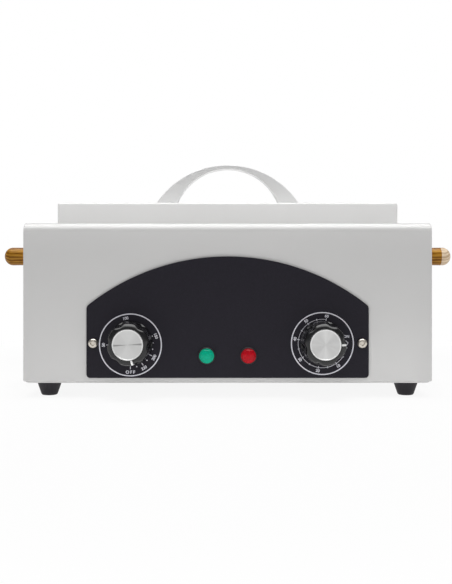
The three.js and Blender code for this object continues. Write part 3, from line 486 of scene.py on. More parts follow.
def wood(name, centre, painted_highlight_from=None):
    """Varnished turned wood with its grain along X; past the given mark on X its end is painted paler,
    a painted highlight for light falling on that end.
    """
    finish = Finish(name, Specular_IOR_Level=0.06, Coat_Weight=0.22, Coat_Roughness=0.25)
    pores = finish.noise(170, 3, finish.moved(centre, (0.16, 1, 1)))
    rings = finish.node("TexWave", {"wave_type": "RINGS", "rings_direction": "X"},
                        Vector=finish.moved(centre + WOOD_HEART, (0.12, 1, 1)),
                        Scale=110, Distortion=5, Detail=5, Detail_Scale=3).outputs["Fac"]
    color = finish.mix(0.5, finish.ramp(rings, *WOOD_SHADES), finish.ramp(pores, *PORE_SHADES),
                       "MULTIPLY")
    # Painted highlight: past the mark the end is painted in paler shades
    if painted_highlight_from is not None:
        along = finish.node("SeparateXYZ", Vector=finish.place).outputs["X"]
        past = finish.math("GREATER_THAN", along, painted_highlight_from)
        color = finish.mix(past, color, finish.ramp(rings, *PAINTED_HIGHLIGHT_WOOD_SHADES))
    finish.color(color)
    finish.roughness(pores, 0.3, 0.45)
    finish.bump(rings, WOOD_DEPTH, 0.5)
    return finish.material


def lens_plastic(name, centre, color, deep):
    """Coloured plastic with a dotted inside face, deeper in colour between the dots."""
    finish = Finish(name, IOR=1.49, Transmission_Weight=0.05, Specular_IOR_Level=0.16)
    _, _, flat = finish.front_plane(centre)
    cells = finish.node("TexVoronoi", Vector=flat, Scale=620)
    finish.color(finish.ramp(cells.outputs["Distance"], (0.1, color), (0.9, deep)))
    finish.roughness(finish.noise(400), 0.12, 0.2)
    return finish.material


def fibre(name):
    """Felted mineral wool."""
    finish = Finish(name, Roughness=0.95, Specular_IOR_Level=0.1, Sheen_Weight=0.3)
    threads = finish.noise(350, 6, Distortion=1.5)
    finish.color(finish.ramp(threads, *FELT_SHADES))
    finish.bump(threads, FELT_DEPTH, 0.8)
    return finish.material


# Slot, kind of finish, colour, and roughness with what else the kind takes
FINISHES = (
    # The casing and the lid wear one white enamel: the casing's colour is set darker, a painted shade,
    # and the lid's lighter, painted light
    ("casing_paint", paint, (0.675, 0.671, 0.665), 0.38, 0.45),
    ("lid_paint", paint, (0.86, 0.857, 0.85), 0.36),
    ("handle_paint", paint, (0.85, 0.85, 0.848), 0.34),
    ("panel_black", lacquer, (0.016, 0.0144, 0.021)),
    ("foot_rubber", moulded, (0.02, 0.018, 0.023), 0.6),
    ("knob_plastic", glossy_black),
    ("black_plastic", moulded, (0.016, 0.016, 0.018), 0.45),
    ("pale_plastic", moulded, (0.76, 0.73, 0.64), 0.5),
    ("mineral_fibre", fibre),
    ("stainless", metal, (0.62, 0.62, 0.63), 0.3, (0.06, 1, 1)),
    ("nickel", metal, (0.72, 0.67, 0.6), 0.28),
    ("plain_steel", metal, (0.5, 0.51, 0.53), 0.4),
    ("copper_tube", metal, (0.66, 0.33, 0.19), 0.35),
)
finishes = {slot: make(slot, *values) for slot, make, *values in FINISHES}
finishes["spun_aluminium"] = metal("rolled_aluminium", (0.8, 0.8, 0.8), 0.35)
print_ink = ink("dial_print", (0.8, 0.795, 0.86))
index_ink = ink("index_print", (0.86, 0.86, 0.86))


# Casing and base plate

CASING_WALL = 1.2 * MM
SIDE_BEND = 1 * MM
TOP_BEND = 8.5 * MM
BOTTOM_BEND = 0.5 * MM
BOTTOM_CORNER = 1.6 * MM
INNER_SIDE_BEND = 0.3 * MM
INNER_BOTTOM_CORNER = 1 * MM
LEAST_BEND = 0.2 * MM
OPENING_LEDGE = 4.4 * MM
OPENING_CORNER = 13 * MM
FLOOR_LEDGE = 10 * MM
FLOOR_CORNER = 2 * MM
PLATE_SIDE_INSET = 0.7 * MM
PLATE_CORNER = 3 * MM
# Inset and height of the plate's rounded edge, in millimetres
PLATE_EDGE = ((1.6, 0), (0.9, 0.3), (0.35, 0.8), (0, 1.4))
VENT_HALF = Vector((2, 15, 0)) * MM
VENT_CORNER = 1.8 * MM
VENT_PITCH = 12 * MM
VENT_COUNT = 5
VENT_ROW_OFFSET = 85 * MM
PEG_BOLT_HOLE = 2.8 * MM
GLAND_HOLE = 7.5 * MM
# Radius of the hole for each part that goes through the casing's front and the panel
FRONT_HOLES = {
    "thermostat_bush_nut": 5.3 * MM, "timer_bush_nut": 5.3 * MM,
    "green_lamp_holder": 6.3 * MM, "red_lamp_holder": 6.3 * MM,
    "panel_screw_left": 2.3 * MM, "panel_screw_right": 2.3 * MM,
}


def casing_rings(low, high, side_bend, bottom_corner, inset):
    """Rings along X round the casing, pulled in towards its two ends."""
    rings = []
    for end, inward_x in ((low.x, 1), (high.x, -1)):
        end_rings = []
        stops = [depth for depth, _ in quarter(side_bend, CORNER_STEPS)]
        stops += [depth for depth, _ in quarter(bottom_corner, CORNER_STEPS) if depth > side_bend]
        for depth in stops:
            side = setback(side_bend, depth)
            rise = max(side, setback(bottom_corner, depth))
            flat = outline(low.y + side, high.y - side, low.z + rise, high.z - side,
                           max(BOTTOM_BEND - inset - side / 2, LEAST_BEND),
                           TOP_BEND - inset - side / 2)
            end_rings.append([Vector((end + inward_x * depth, y, z)) for y, z in flat])
        rings += end_rings if inward_x > 0 else end_rings[::-1]
    return rings


def front_holes(face, wall):
    """Cutters through a wall whose front face is at a place along Y."""
    cutters = []
    for node, radius in FRONT_HOLES.items():
        place = middle(node)
        cutters.append(pin(Vector((place.x, face, place.z)), BACK, radius, wall))
    return cutters


def casing():
    low, high, centre, half = extent("casing_shell")
    shell = loft("casing_outer", casing_rings(low, high, SIDE_BEND, BOTTOM_CORNER, 0))
    wall = Vector((CASING_WALL,) * 3)
    _, _, tank_centre, tank_half = extent("chamber_tank")
    cutters = [
        loft("cutter", casing_rings(low + wall, high - wall, INNER_SIDE_BEND, INNER_BOTTOM_CORNER,
                                    CASING_WALL)),
        loft("cutter", [plan_ring(tank_centre, inward(tank_half, OPENING_LEDGE), OPENING_CORNER, z)
                        for z in (high.z - TOP_BEND, high.z + OVERRUN)]),
        window(centre, inward(half, FLOOR_LEDGE), FLOOR_CORNER, low.z, low.z + CASING_WALL),
    ]
    cutters += front_holes(low.y, CASING_WALL)
    gland = middle("gland_lock_nut")
    cutters.append(pin(Vector((gland.x, high.y, gland.z)), FRONT, GLAND_HOLE, CASING_WALL))
    for side, axis, wall_x in (("left", RIGHT, low.x), ("right", LEFT, high.x)):
        place = middle(f"peg_bolt_{side}")
        cutters.append(pin(Vector((wall_x, place.y, place.z)), axis, PEG_BOLT_HOLE, CASING_WALL))
    cut(shell, cutters)
    dress(shell, "casing_paint", "casing", "casing_shell")


def base_plate():
    low, high, centre, half = extent("base_plate")
    half.x -= PLATE_SIDE_INSET
    plate = loft("base_plate_shape", [
        plan_ring(centre, inward(half, inset * MM), PLATE_CORNER, low.z + rise * MM)
        for inset, rise in PLATE_EDGE])
    vents = []
    for row_x in (-VENT_ROW_OFFSET, VENT_ROW_OFFSET):
        for x in spaced(VENT_COUNT, VENT_PITCH):
            vents.append(window(centre + RIGHT * (row_x + x), VENT_HALF, VENT_CORNER, low.z, high.z))
    cut(plate, [joined("cutter", vents)])
    dress(plate, "casing_paint", "casing", "base_plate")


# Front panel with its arched top

PANEL_CORNER = 3.4 * MM
PANEL_SHOULDER_DROP = 45.7 * MM
PANEL_SHOULDER_ROUND = 4.5 * MM
PANEL_ARC_STEPS = 72
PANEL_EDGE = 0.35 * MM


def panel_outline(low, high, inset):
    """Counter-clockwise from the lower right corner, seen from the front."""
    half = (high.x - low.x) / 2
    centre_x = (high.x + low.x) / 2
    radius = (half**2 + PANEL_SHOULDER_DROP**2) / (2 * PANEL_SHOULDER_DROP)
    arc_z = high.z - radius
    points = []

    def corner(x, z, size, start, turn):
        for i in range(CORNER_STEPS + 1):
            angle = math.radians(start + turn * i / CORNER_STEPS)
            points.append((x + (size - inset) * math.cos(angle), z + (size - inset) * math.sin(angle)))

    corner(half - PANEL_CORNER, low.z + PANEL_CORNER, PANEL_CORNER, -90, 90)
    size = PANEL_SHOULDER_ROUND
    corner_x = half - size
    corner_z = arc_z + math.sqrt((radius - size)**2 - corner_x**2)
    lean = math.degrees(math.asin(corner_x / (radius - size)))
    corner(corner_x, corner_z, size, 0, 90 - lean)
    for i in range(1, PANEL_ARC_STEPS):
        angle = math.radians(lean * (1 - 2 * i / PANEL_ARC_STEPS))
        points.append(((radius - inset) * math.sin(angle), arc_z + (radius - inset) * math.cos(angle)))
    corner(-corner_x, corner_z, size, 90 + lean, 90 - lean)
    corner(-(half - PANEL_CORNER), low.z + PANEL_CORNER, PANEL_CORNER, 180, 90)
    return [(centre_x + x, z) for x, z in points]


def front_panel():
    low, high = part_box("front_panel")
    levels = [(low.y + depth, inset) for depth, inset in quarter(PANEL_EDGE, SMALL_CORNER_STEPS)]
    plate = loft("panel_plate", [
        [Vector((x, y, z)) for x, z in panel_outline(low, high, inset)]
        for y, inset in levels + [(high.y, 0)]])
    cut(plate, front_holes(low.y, high.y - low.y))
    dress(plate, "panel_black", "casing", "front_panel")


# Dial prints: rings, marks, numbers and the two switch words

PRINT_LIFT = 0.05 * MM
PRINT_WELD = 0.0005 * MM
RING_RADIUS = 28.3 * MM
RING_LINE = 1 * MM
RING_STEPS = 144
DOT_SIDES = 16
TEXT_SIZE = 3.6 * MM
TEXT_BOLDNESS = 0.03
# Degrees between which a number stands upside down to read upright
LOWER_HALF = (100, 260)


class Dial:
    """Flat prints round a centre on the panel's face; angles in degrees clockwise from the top."""

    def __init__(self, name, x, z):
        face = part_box("front_panel")[0].y
        self.name = name
        self.centre = Vector((x, face, z))
        self.work = bmesh.new()
        self.band(RING_RADIUS, RING_LINE, 0, 360, RING_STEPS)

    def at(self, degrees, radius):
        angle = math.radians(degrees)
        return Vector((math.sin(angle), 0, math.cos(angle))) * radius

    def plate(self, flat):
        """A closed thin plate over an outline given about the centre."""
        front = [self.work.verts.new(self.centre + point + FRONT * PRINT_LIFT) for point in flat]
        back = [self.work.verts.new(self.centre + point) for point in flat]
        self.work.faces.new(front)
        self.work.faces.new(back[::-1])
        for i in range(len(flat)):
            j = (i + 1) % len(flat)
            self.work.faces.new((front[j], front[i], back[i], back[j]))

    def band(self, radius, width, start, end, steps):
        """An arc of a ring, or the whole ring."""
        whole = end - start >= 360
        stops = []
        for i in range(steps if whole else steps + 1):
            degrees = start + (end - start) * i / steps
            stop = []
            for reach in (radius - width / 2, radius + width / 2):
                point = self.centre + self.at(degrees, reach)
                stop += [self.work.verts.new(point), self.work.verts.new(point + FRONT * PRINT_LIFT)]
            stops.append(stop)
        for a, b in zip(stops, stops[1:] + ([stops[0]] if whole else [])):
            for i, j in ((0, 1), (1, 3), (3, 2), (2, 0)):
                self.work.faces.new((a[i], a[j], b[j], b[i]))
        if not whole:
            for stop in (stops[0], stops[-1]):
                self.work.faces.new((stop[0], stop[1], stop[3], stop[2]))

    def tick(self, degrees, radius, length, width):
        side = self.at(degrees + 90, width / 2)
        inner = self.at(degrees, radius - length / 2)
        outer = self.at(degrees, radius + length / 2)
        self.plate([inner - side, inner + side, outer + side, outer - side])

    def stroke(self, start, end, width):
        """A straight line between two places given by degrees and radius."""
        a, b = self.at(*start), self.at(*end)
        side = (b - a).cross(FRONT).normalized() * width / 2
        self.plate([a - side, a + side, b + side, b - side])

    def dot(self, degrees, radius, size):
        centre = self.at(degrees, radius)
        self.plate([centre + self.at(-360 * i / DOT_SIDES, size / 2) for i in range(DOT_SIDES)])

    def word(self, text, degrees, radius, turn=0, size=TEXT_SIZE, spacing=1.0):
        """Text centred at a place, its top turned clockwise by some degrees."""
        curve = bpy.data.curves.new("text", "FONT")
        curve.body = text
        curve.size = size
        curve.space_character = spacing
        curve.align_x = "CENTER"
        curve.align_y = "CENTER"
        curve.extrude = PRINT_LIFT / 2
        curve.offset = size * TEXT_BOLDNESS
        letters = linked("text", curve)
        mesh = evaluated(letters)
        upright = Matrix.Rotation(math.pi / 2, 4, "X")
        turned = Matrix.Rotation(math.radians(turn), 4, "Y")
        place = self.centre + self.at(degrees, radius) + FRONT * PRINT_LIFT / 2
        mesh.transform(Matrix.Translation(place) @ turned @ upright)
        self.work.from_mesh(mesh)
        bpy.data.objects.remove(letters)

    def number(self, text, degrees, radius):
        """A number whose top points outwards, or inwards in the lower half so that it reads upright."""
        low = LOWER_HALF[0] < degrees % 360 < LOWER_HALF[1]
        self.word(text, degrees, radius, degrees + 180 if low else degrees)

    def finish(self):
        bmesh.ops.remove_doubles(self.work, verts=self.work.verts, dist=PRINT_WELD)
        bmesh.ops.recalc_face_normals(self.work, faces=self.work.faces)
        mesh = bpy.data.meshes.new(self.name)
        self.work.to_mesh(mesh)
        self.work.free()
        dress(linked(self.name, mesh), None, "casing", finish=print_ink, smooth=20)


TEMPERATURE_PLACE = (-88.9 * MM, 48.2 * MM)
TEMPERATURE_NUMBERS = ((270, "50"), (349.5, "100"), (70.4, "150"), (118.1, "200"), (149.3, "220"))
TEMPERATURE_NUMBER_RADIUS = 24.6 * MM
TEMPERATURE_TICKS = (68.3, 116.9, 147.9, 180, 270, 349.5)
TEMPERATURE_DOTS = (51, 84.9, 100.9, 132.9, 163.7)
# Radius, length and width of a tick, and radius and size of a dot
TEMPERATURE_TICK = (20.9 * MM, 2.6 * MM, 0.6 * MM)
TEMPERATURE_DOT = (20.7 * MM, 1.1 * MM)
# Words are placed by the degrees and the radius of their middle
OFF_PLACE = (180, 25 * MM)
OFF_SIZE = 4 * MM
OFF_SPACING = 1.4
TIMER_PLACE = (86.7 * MM, 49.5 * MM)
TIMER_LAST = 9
TIMER_STEP = 22.4
TIMER_STEPS = 12
TIMER_STEP_MINUTES = 5
TIMER_ARC_RADIUS = 22.2 * MM
TIMER_ARC_LINE = 0.4 * MM
TIMER_ARC_STEPS = 120
TIMER_TICK_WIDTH = 0.65 * MM
TIMER_TICK_LENGTH = 1.7 * MM
TIMER_NUMBERED_LENGTH = 2.4 * MM
TIMER_NUMBER_RADIUS = 25.3 * MM
ON_PLACE = (74, 22.9 * MM)
ON_SIZE = 3.2 * MM
# Degrees and radius of the foot, tip and barb of the small arrow
ON_ARROW = ((83, 21.4 * MM), (88.6, 23.5 * MM), (94, 22.1 * MM))
ON_ARROW_WIDTH = 0.5 * MM


def temperature_print():
    dial = Dial("temperature_print", *TEMPERATURE_PLACE)
    for degrees, text in TEMPERATURE_NUMBERS:
        dial.number(text, degrees, TEMPERATURE_NUMBER_RADIUS)
    for degrees in TEMPERATURE_TICKS:
        dial.tick(degrees, *TEMPERATURE_TICK)
    for degrees in TEMPERATURE_DOTS:
        dial.dot(degrees, *TEMPERATURE_DOT)
    dial.word("OFF", *OFF_PLACE, size=OFF_SIZE, spacing=OFF_SPACING)
    dial.finish()


def timer_print():
    dial = Dial("timer_print", *TIMER_PLACE)
    zero = TIMER_LAST - TIMER_STEP * TIMER_STEPS
    dial.band(TIMER_ARC_RADIUS, TIMER_ARC_LINE, zero, TIMER_LAST, TIMER_ARC_STEPS)
    for step in range(TIMER_STEPS + 1):
        degrees = zero + TIMER_STEP * step
        numbered = step % 2 == 0 and step > 0
        length = TIMER_NUMBERED_LENGTH if numbered else TIMER_TICK_LENGTH
        dial.tick(degrees, TIMER_ARC_RADIUS, length, TIMER_TICK_WIDTH)
        if numbered:
            dial.number(str(TIMER_STEP_MINUTES * step), degrees, TIMER_NUMBER_RADIUS)
    dial.word("ON", *ON_PLACE, size=ON_SIZE)
    foot_place, tip, barb = ON_ARROW
    dial.stroke(foot_place, tip, ON_ARROW_WIDTH)
    dial.stroke(barb, tip, ON_ARROW_WIDTH)
    dial.finish()


# Knobs

SCOOPS = 6
SCOOP_SIDES = 28
SCOOP_WIDTH_SHARE = 0.56
SCOOP_FALLOFF = 1.6
SCOOP_TURN = math.radians(-12)
# Degrees of the pointer at rest, then arms, lean and shades of the fan of painted reflection streaks on
# the cap
KNOBS = {
    "temperature": (167, 1, -0.05, ((0, 0.42), (0.045, 0.6), (0.1, 0.97), (0.9, 1.0), (1, 0.95))),
    "timer": (91, 2, 0.5, ((0, 0.97), (0.5, 1.03), (1, 0.95))),
}
INDEX_WIDTH = 1.75 * MM
INDEX_LIFT = 0.1 * MM
INDEX_SINK = 0.3 * MM
INDEX_START = 12
# Radius, height from the knob's back and depth of the scoops there, all in millimetres
KNOB_HOLLOW = ((0, 22.2, 0), (3.3, 22.2, 0), (3.3, 5.2, 0), (10.5, 5.2, 0), (10.5, 0, 0))
KNOB_GRIP = ((19.9, 0, 0), (20.2, 0.2, 0), (20.4, 0.6, 0), (20.45, 1.2, 0), (20.45, 2, 0),
             (20.4, 2.6, 0), (20.3, 3.1, 0.4), (20.25, 3.7, 1.1), (20.2, 4.6, 1.8), (20.1, 6, 2.2),
             (20.0, 8, 2.3), (19.85, 11, 2.25), (19.6, 15, 2.1), (19.3, 18.5, 1.9),
             (19.15, 20.6, 1.7), (19.0, 21.8, 1.55), (18.7, 22.8, 1.4), (18.2, 23.6, 1.15),
             (17.5, 24.3, 0.8), (16.7, 24.8, 0.45), (15.9, 25.2, 0.2), (15.4, 25.4, 0.05),
             (15.1, 25.5, 0), (14.75, 25.58, 0), (14.35, 25.6, 0))
CAP_CLEARANCE = 0.15 * MM
CAP_SEAT_GAP = 0.3 * MM
# Radius and height of the cap's edges in millimetres, counted from its rim and its back or face
CAP_BACK = ((-0.2, 0), (0, 0.15))
CAP_FACE = ((0, -0.4), (-0.12, -0.12), (-0.45, 0), (-0.85, -0.02), (-1.1, -0.16), (-1.5, -0.16))
CAP_DISH_HALFWAY = 0.2 * MM
CAP_DISH = 0.22 * MM
# Width of the cap's rim that is painted brighter, a painted highlight
CAP_BRIGHT_RIM = 1.2 * MM
CAP_COLOR = (0.69, 0.69, 0.685)
CAP_ROUGHNESS = 0.33


def scooped(turn):
    def shape(angle, radius, depth=0):
        place = (angle - turn) / (2 * math.pi / SCOOPS) % 1
        from_scoop = min(place, 1 - place) / (SCOOP_WIDTH_SHARE / 2)
        if from_scoop >= 1:
            return radius
        return radius - depth * MM * math.cos(math.pi / 2 * from_scoop)**SCOOP_FALLOFF
    return shape


def knob(name, index_degrees, *painted_reflection_fan):
    body = f"{name}_dial"
    low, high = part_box(f"{name}_knob")
    cap_low, cap_high, centre, cap_half = extent(f"{name}_knob_cap")
    back = Vector((centre.x, high.y, centre.z))
    front = high.y - low.y
    index = math.radians(index_degrees)
    stretch = front / (KNOB_GRIP[-1][1] * MM)
    grip_rows = [(radius * MM, height * MM * stretch, depth) for radius, height, depth in KNOB_GRIP]
    seat = high.y - cap_high.y - CAP_SEAT_GAP
    seat_radius = cap_half.x + CAP_CLEARANCE
    profile = rows(KNOB_HOLLOW) + grip_rows + [(seat_radius, front), (seat_radius, seat), (0, seat)]
    shape = scooped(index + SCOOP_TURN)
    grip = lathe(f"{name}_grip", profile, back, FRONT, SCOOPS * SCOOP_SIDES, shape)
    dress(grip, "knob_plastic", body, f"{name}_knob", smooth=40)

    turned = Matrix.Rotation(index, 3, "Y")
    rings = []
    for (_, height, _), (radius, reach_forward, depth) in zip(KNOB_GRIP, grip_rows):
        if height <= INDEX_START:
            continue
        ring = []
        for side, lift in ((-1, INDEX_LIFT), (1, INDEX_LIFT), (1, -INDEX_SINK), (-1, -INDEX_SINK)):
            aside = side * INDEX_WIDTH / 2
            reach = shape(index + aside / radius, radius, depth) + lift
            ring.append(back + FRONT * reach_forward + turned @ (RIGHT * aside + UP * reach))
        rings.append(ring)
    dress(loft(f"{name}_index", rings), None, body, finish=index_ink, smooth=50)

    depth = cap_high.y - cap_low.y
    radius = cap_half.x
    profile = [(0, 0)] + rows(CAP_BACK, radius) + rows(CAP_FACE, radius, depth) + [
        (radius / 2, depth - CAP_DISH_HALFWAY), (0, depth - CAP_DISH)]
    cap = lathe(f"{name}_cap", profile, Vector((centre.x, cap_high.y, centre.z)), FRONT)
    finish = spun(f"{name}_spun_face", centre, radius - CAP_BRIGHT_RIM, CAP_COLOR, CAP_ROUGHNESS, *painted_reflection_fan)
    dress(cap, "spun_aluminium", body, f"{name}_knob_cap", finish=finish, smooth=20)


# Screws with a pan head and a cross recess

# Shares of the head's radius, but those of the shank's end are shares of the shank's radius
SHANK_SHARE = 0.45
SHANK_TIP_SHARE = 0.7
SHANK_BEVEL_SHARE = 0.4
RISE_SHARE = 0.6
# Radius as a share of the head's, and drop under its top as a share of its rise
HEAD_SHARES = ((0.97, 1), (1, 0.92), (1, 0.62), (0.96, 0.4), (0.86, 0.2), (0.68, 0.06), (0.45, 0.01))
# Height over the head's top as a share of its rise, then reach and half width as shares of its radius
RECESS_SHARES = ((1, 0.702, 0.27), (-0.8, 0.416, 0.19))


def pan_screw(node, axis, slot):
    """Stands for a screw whose head is at the far end of its node along the axis."""
    _, _, centre, half = extent(node)
    top = 2 * half.dot(Vector(map(abs, axis)))
    tail = centre - axis * top / 2
    head = min(half.x, half.z if abs(axis.y) > 0 else half.y)
    shank = head * SHANK_SHARE
    rise = head * RISE_SHARE
    profile = [(0, 0), (shank * SHANK_TIP_SHARE, 0), (shank, shank * SHANK_BEVEL_SHARE),
               (shank, top - rise)]
    profile += [(head * radius, top - rise * drop) for radius, drop in HEAD_SHARES]
    screw = lathe(f"{node}_shape", profile + [(0, top)], tail, axis, SMALL_SIDES)
    side, up = across(axis)
    cutters = []
    for along, wide in ((side, up), (up, side)):
        rings = []
        for over, reach, slit in RECESS_SHARES:
            base = tail + axis * (top + rise * over)
            rings.append([base + along * head * reach * a + wide * head * slit * b
                          for a, b in ((-1, -1), (1, -1), (1, 1), (-1, 1))])
        cutters.append(loft("cutter", rings))
    cut(screw, cutters)
    dress(screw, slot, "casing", node)


# Indicator lamps, in tables of radius and height in millimetres

BEZEL_STEM = ((0, 5), (5.6, 5), (6, 5.4))
BEZEL_NECK = ((6, -0.9),)
BEZEL_FLANGE = ((-0.1, -0.9), (0, -0.75), (-0.12, -0.25), (-0.5, 0))
BEZEL_BORE = ((4.3, 0), (4.3, -5.2), (0, -5.2))
TAB_OFFSET = 2.6 * MM
TAB_HALF_THICKNESS = 0.4 * MM
TAB_HALF_WIDTH = 2.4 * MM
TAB_LENGTH = 5 * MM
TAB_CORNER = 0.3 * MM
TAB_CORNER_STEPS = 3
LENS_STEM_RADIUS = 4 * MM
LENS_HEAD = 3.6 * MM
LENS_RIM = ((-0.2, 0), (0, 0.2), (0, 0.9), (-0.35, 1.3), (-0.75, 1.35))
LENS_DOME_STEPS = 14
# Colour of each lens at the dots of its inside face and between them
LENS_COLORS = {
    "green": ((0.001, 0.47, 0.28), (0.001, 0.36, 0.215)),
    "red": ((0.54, 0.004, 0.014), (0.4, 0.004, 0.011)),
}


def lamp(name, color, deep):
    low, high, centre, half = extent(f"{name}_lamp_lens")
    holder_low, holder_high, _, holder_half = extent(f"{name}_lamp_holder")
    start = Vector((centre.x, holder_high.y, centre.z))
    depth = holder_high.y - holder_low.y
    profile = (rows(BEZEL_STEM) + rows(BEZEL_NECK, top=depth)
               + rows(BEZEL_FLANGE, holder_half.x, depth) + rows(BEZEL_BORE, top=depth))
    pieces = [lathe(f"{name}_bezel", profile, start, FRONT, SMALL_SIDES)]
    for x in (-TAB_OFFSET, TAB_OFFSET):
        ring = outline(x - TAB_HALF_THICKNESS, x + TAB_HALF_THICKNESS, -TAB_HALF_WIDTH, TAB_HALF_WIDTH,
                       TAB_CORNER, TAB_CORNER, TAB_CORNER_STEPS)
        pieces.append(loft("tab", [[start + RIGHT * a + UP * b + FRONT * y for a, b in ring]
                                   for y in (0, TAB_LENGTH)]))
    dress(joined(f"{name}_holder", pieces), "black_plastic", "casing", f"{name}_lamp_holder")

    reach = high.y - low.y
    stem = reach - LENS_HEAD
    profile = [(0, 0), (LENS_STEM_RADIUS, 0), (LENS_STEM_RADIUS, stem)] + rows(LENS_RIM, half.x, stem)
    wide, base = profile[-1]
    profile += dome(wide, base, reach - base, LENS_DOME_STEPS)
    lens = lathe(f"{name}_lens", profile, Vector((centre.x, high.y, centre.z)), FRONT)
    finish = lens_plastic(f"{name}_plastic", centre, color, deep)
    dress(lens, f"{name}_lens", "casing", f"{name}_lamp_lens", finish=finish)


# Feet, side pegs and the cable gland, in tables of radius and height in millimetres

FOOT_SOLE = ((2.3, 6), (4.5, 6), (4.5, 0.4), (4.9, 0), (5.7, 0), (6.5, 0.15), (7.15, 0.6),
             (7.65, 1.4), (8.0, 2.4))
FOOT_SHOULDER = ((-0.35, -1.6), (0, -0.9), (0, -0.3), (-0.3, 0))
FOOT_HOLE = ((2.3, 0),)
PEG_SOCKET = ((0, 20), (2.8, 20), (2.8, 0))
PEG_COLLAR = ((0.4, 0), (0.7, 0.3), (0.7, 1), (0.3, 1.6), (0, 2.2))
PEG_COLLAR_RISE = 0.7 * MM
# Shares of radius and length at the peg's waist
PEG_WAIST_SHARES = (0.985, 0.35)
PEG_DOME = 8.5 * MM
PEG_DOME_STEPS = 16
# Length of the right peg's end that is painted paler, a painted highlight
PEG_PAINTED_HIGHLIGHT_END = 10.6 * MM
WASHER_BACK = ((-0.2, 0), (0, 0.2))
WASHER_FACE = ((0, -0.25), (-0.25, 0))
# Kinds of outline at a height of the gland, and the third value of its rows
ROUND, HEXAGON, RIBBED = range(3)
GLAND_FOOT = ((3.9, 0, ROUND), (6.6, 0, ROUND))
GLAND_NUT = ((6.9, 0, ROUND), (10.2, 0, HEXAGON), (11, 0.5, HEXAGON), (11, 3.5, HEXAGON),
             (10.2, 4, HEXAGON), (8.9, 4, ROUND), (9.2, 4.3, RIBBED), (9.2, 7, RIBBED),
             (8.6, 8.2, RIBBED))
GLAND_MOUTH = ((7.4, -0.5, ROUND), (6.4, 0, ROUND), (4.5, 0, ROUND), (3.9, -0.6, ROUND))
GLAND_SIDES = 144
GLAND_SEAT_GAP = 0.3 * MM
THREAD_PITCH = 1.5 * MM
THREAD_RUNOUT = 2 * MM
# Radius, and place as a share of the pitch, of the thread's root and crest
THREAD_STOPS = ((6.7 * MM, 0.4), (7.2 * MM, 0.9))
RIB_DEPTH = 0.35 * MM
RIBS = 24
HEXAGON_ROUND_SHARE = 0.985


def foot(node):
    low, high, centre, half = extent(node)
    height = high.z - low.z
    profile = rows(FOOT_SOLE) + rows(FOOT_SHOULDER, half.x, height) + rows(FOOT_HOLE, top=height)
    shape = lathe(f"{node}_shape", profile, Vector((centre.x, centre.y, low.z)), UP, SMALL_SIDES)
    dress(shape, "foot_rubber", "casing", node)


def side_peg(name, axis):
    _, high, centre, half = extent(f"side_peg_{name}")
    radius = half.z - PEG_COLLAR_RISE
    length = 2 * half.x
    waist, waist_place = PEG_WAIST_SHARES
    profile = rows(PEG_SOCKET) + rows(PEG_COLLAR, radius) + [
        (radius * waist, length * waist_place), (radius, length - PEG_DOME)]
    profile += dome(radius, length - PEG_DOME, PEG_DOME, PEG_DOME_STEPS)
    peg = lathe(f"peg_{name}", profile, centre - axis * half.x, axis)
    # Only the right peg's end gets the painted highlight, for light falling from the right
    painted_highlight_from = high.x - PEG_PAINTED_HIGHLIGHT_END if name == "right" else None
    finish = wood(f"turned_wood_{name}", centre, painted_highlight_from)
    dress(peg, "turned_wood", "casing", f"side_peg_{name}", finish=finish)

    _, _, centre, half = extent(f"peg_washer_{name}")
    thick = 2 * half.x
    profile = [(PEG_BOLT_HOLE, 0)] + rows(WASHER_BACK, half.z) + rows(WASHER_FACE, half.z, thick)
    profile.append((PEG_BOLT_HOLE, thick))
    washer = lathe(f"washer_{name}", profile, centre - axis * half.x, axis)
    dress(washer, "nickel", "casing", f"peg_washer_{name}")


def gland_reach(angle, radius, kind):
    if kind == RIBBED:
        return radius - RIB_DEPTH * (0.5 + 0.5 * math.cos(RIBS * angle))
    if kind == HEXAGON:
        within = (angle + math.pi / 6) % (math.pi / 3) - math.pi / 6
        return min(radius * math.cos(math.pi / 6) / math.cos(within), radius * HEXAGON_ROUND_SHARE)
    return radius


def cable_gland():
    low, high, centre, _ = extent("cable_gland")
    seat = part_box("casing_shell")[1].y - low.y + GLAND_SEAT_GAP
    threads = [(radius, (i + share) * THREAD_PITCH, ROUND)
               for i in range(int((seat - THREAD_RUNOUT) / THREAD_PITCH))
               for radius, share in THREAD_STOPS]
    profile = (rows(GLAND_FOOT) + threads + rows(GLAND_NUT, top=seat)
               + rows(GLAND_MOUTH, top=high.y - low.y))
    start = Vector((centre.x, low.y, centre.z))
    gland = lathe("gland", profile, start, BACK, GLAND_SIDES, gland_reach)
    dress(gland, "black_plastic", "casing", "cable_gland", smooth=25)


# Chamber: tank, tray and bails

TANK_CORNER = 12 * MM
TANK_BOTTOM = 6 * MM
TANK_WALL = 0.8 * MM
TANK_FLANGE = 6.2 * MM
TANK_LIP = 1.2 * MM
FLANGE_THICKNESS = 1 * MM
FLANGE_EDGE = 0.3 * MM
TRAY_CORNER = 8 * MM
TRAY_RIM = 2 * MM
TRAY_WALL = 1 * MM
TRAY_BEND = 1.6 * MM
TRAY_INNER_BEND = 1 * MM
TRAY_HOLE = 3 * MM
TRAY_COLUMNS = 9
TRAY_ROWS = 4
TRAY_COLUMN_PITCH = 30 * MM
TRAY_ROW_PITCH = 32 * MM
RUNNER_HEIGHT = 5 * MM
RUNNER_INSET = 26 * MM
RUNNER_HALF_WIDTH = 2.5 * MM
RUNNER_HALF_LENGTH = 120 * MM
RUNNER_ROUND = 1 * MM
RUNNER_SINK = 0.1 * MM
BAIL_RADIUS = 1.25 * MM
BAIL_HOLE = 1.6 * MM
BAIL_LEG = 4.45 * MM
BAIL_BEND = 3 * MM


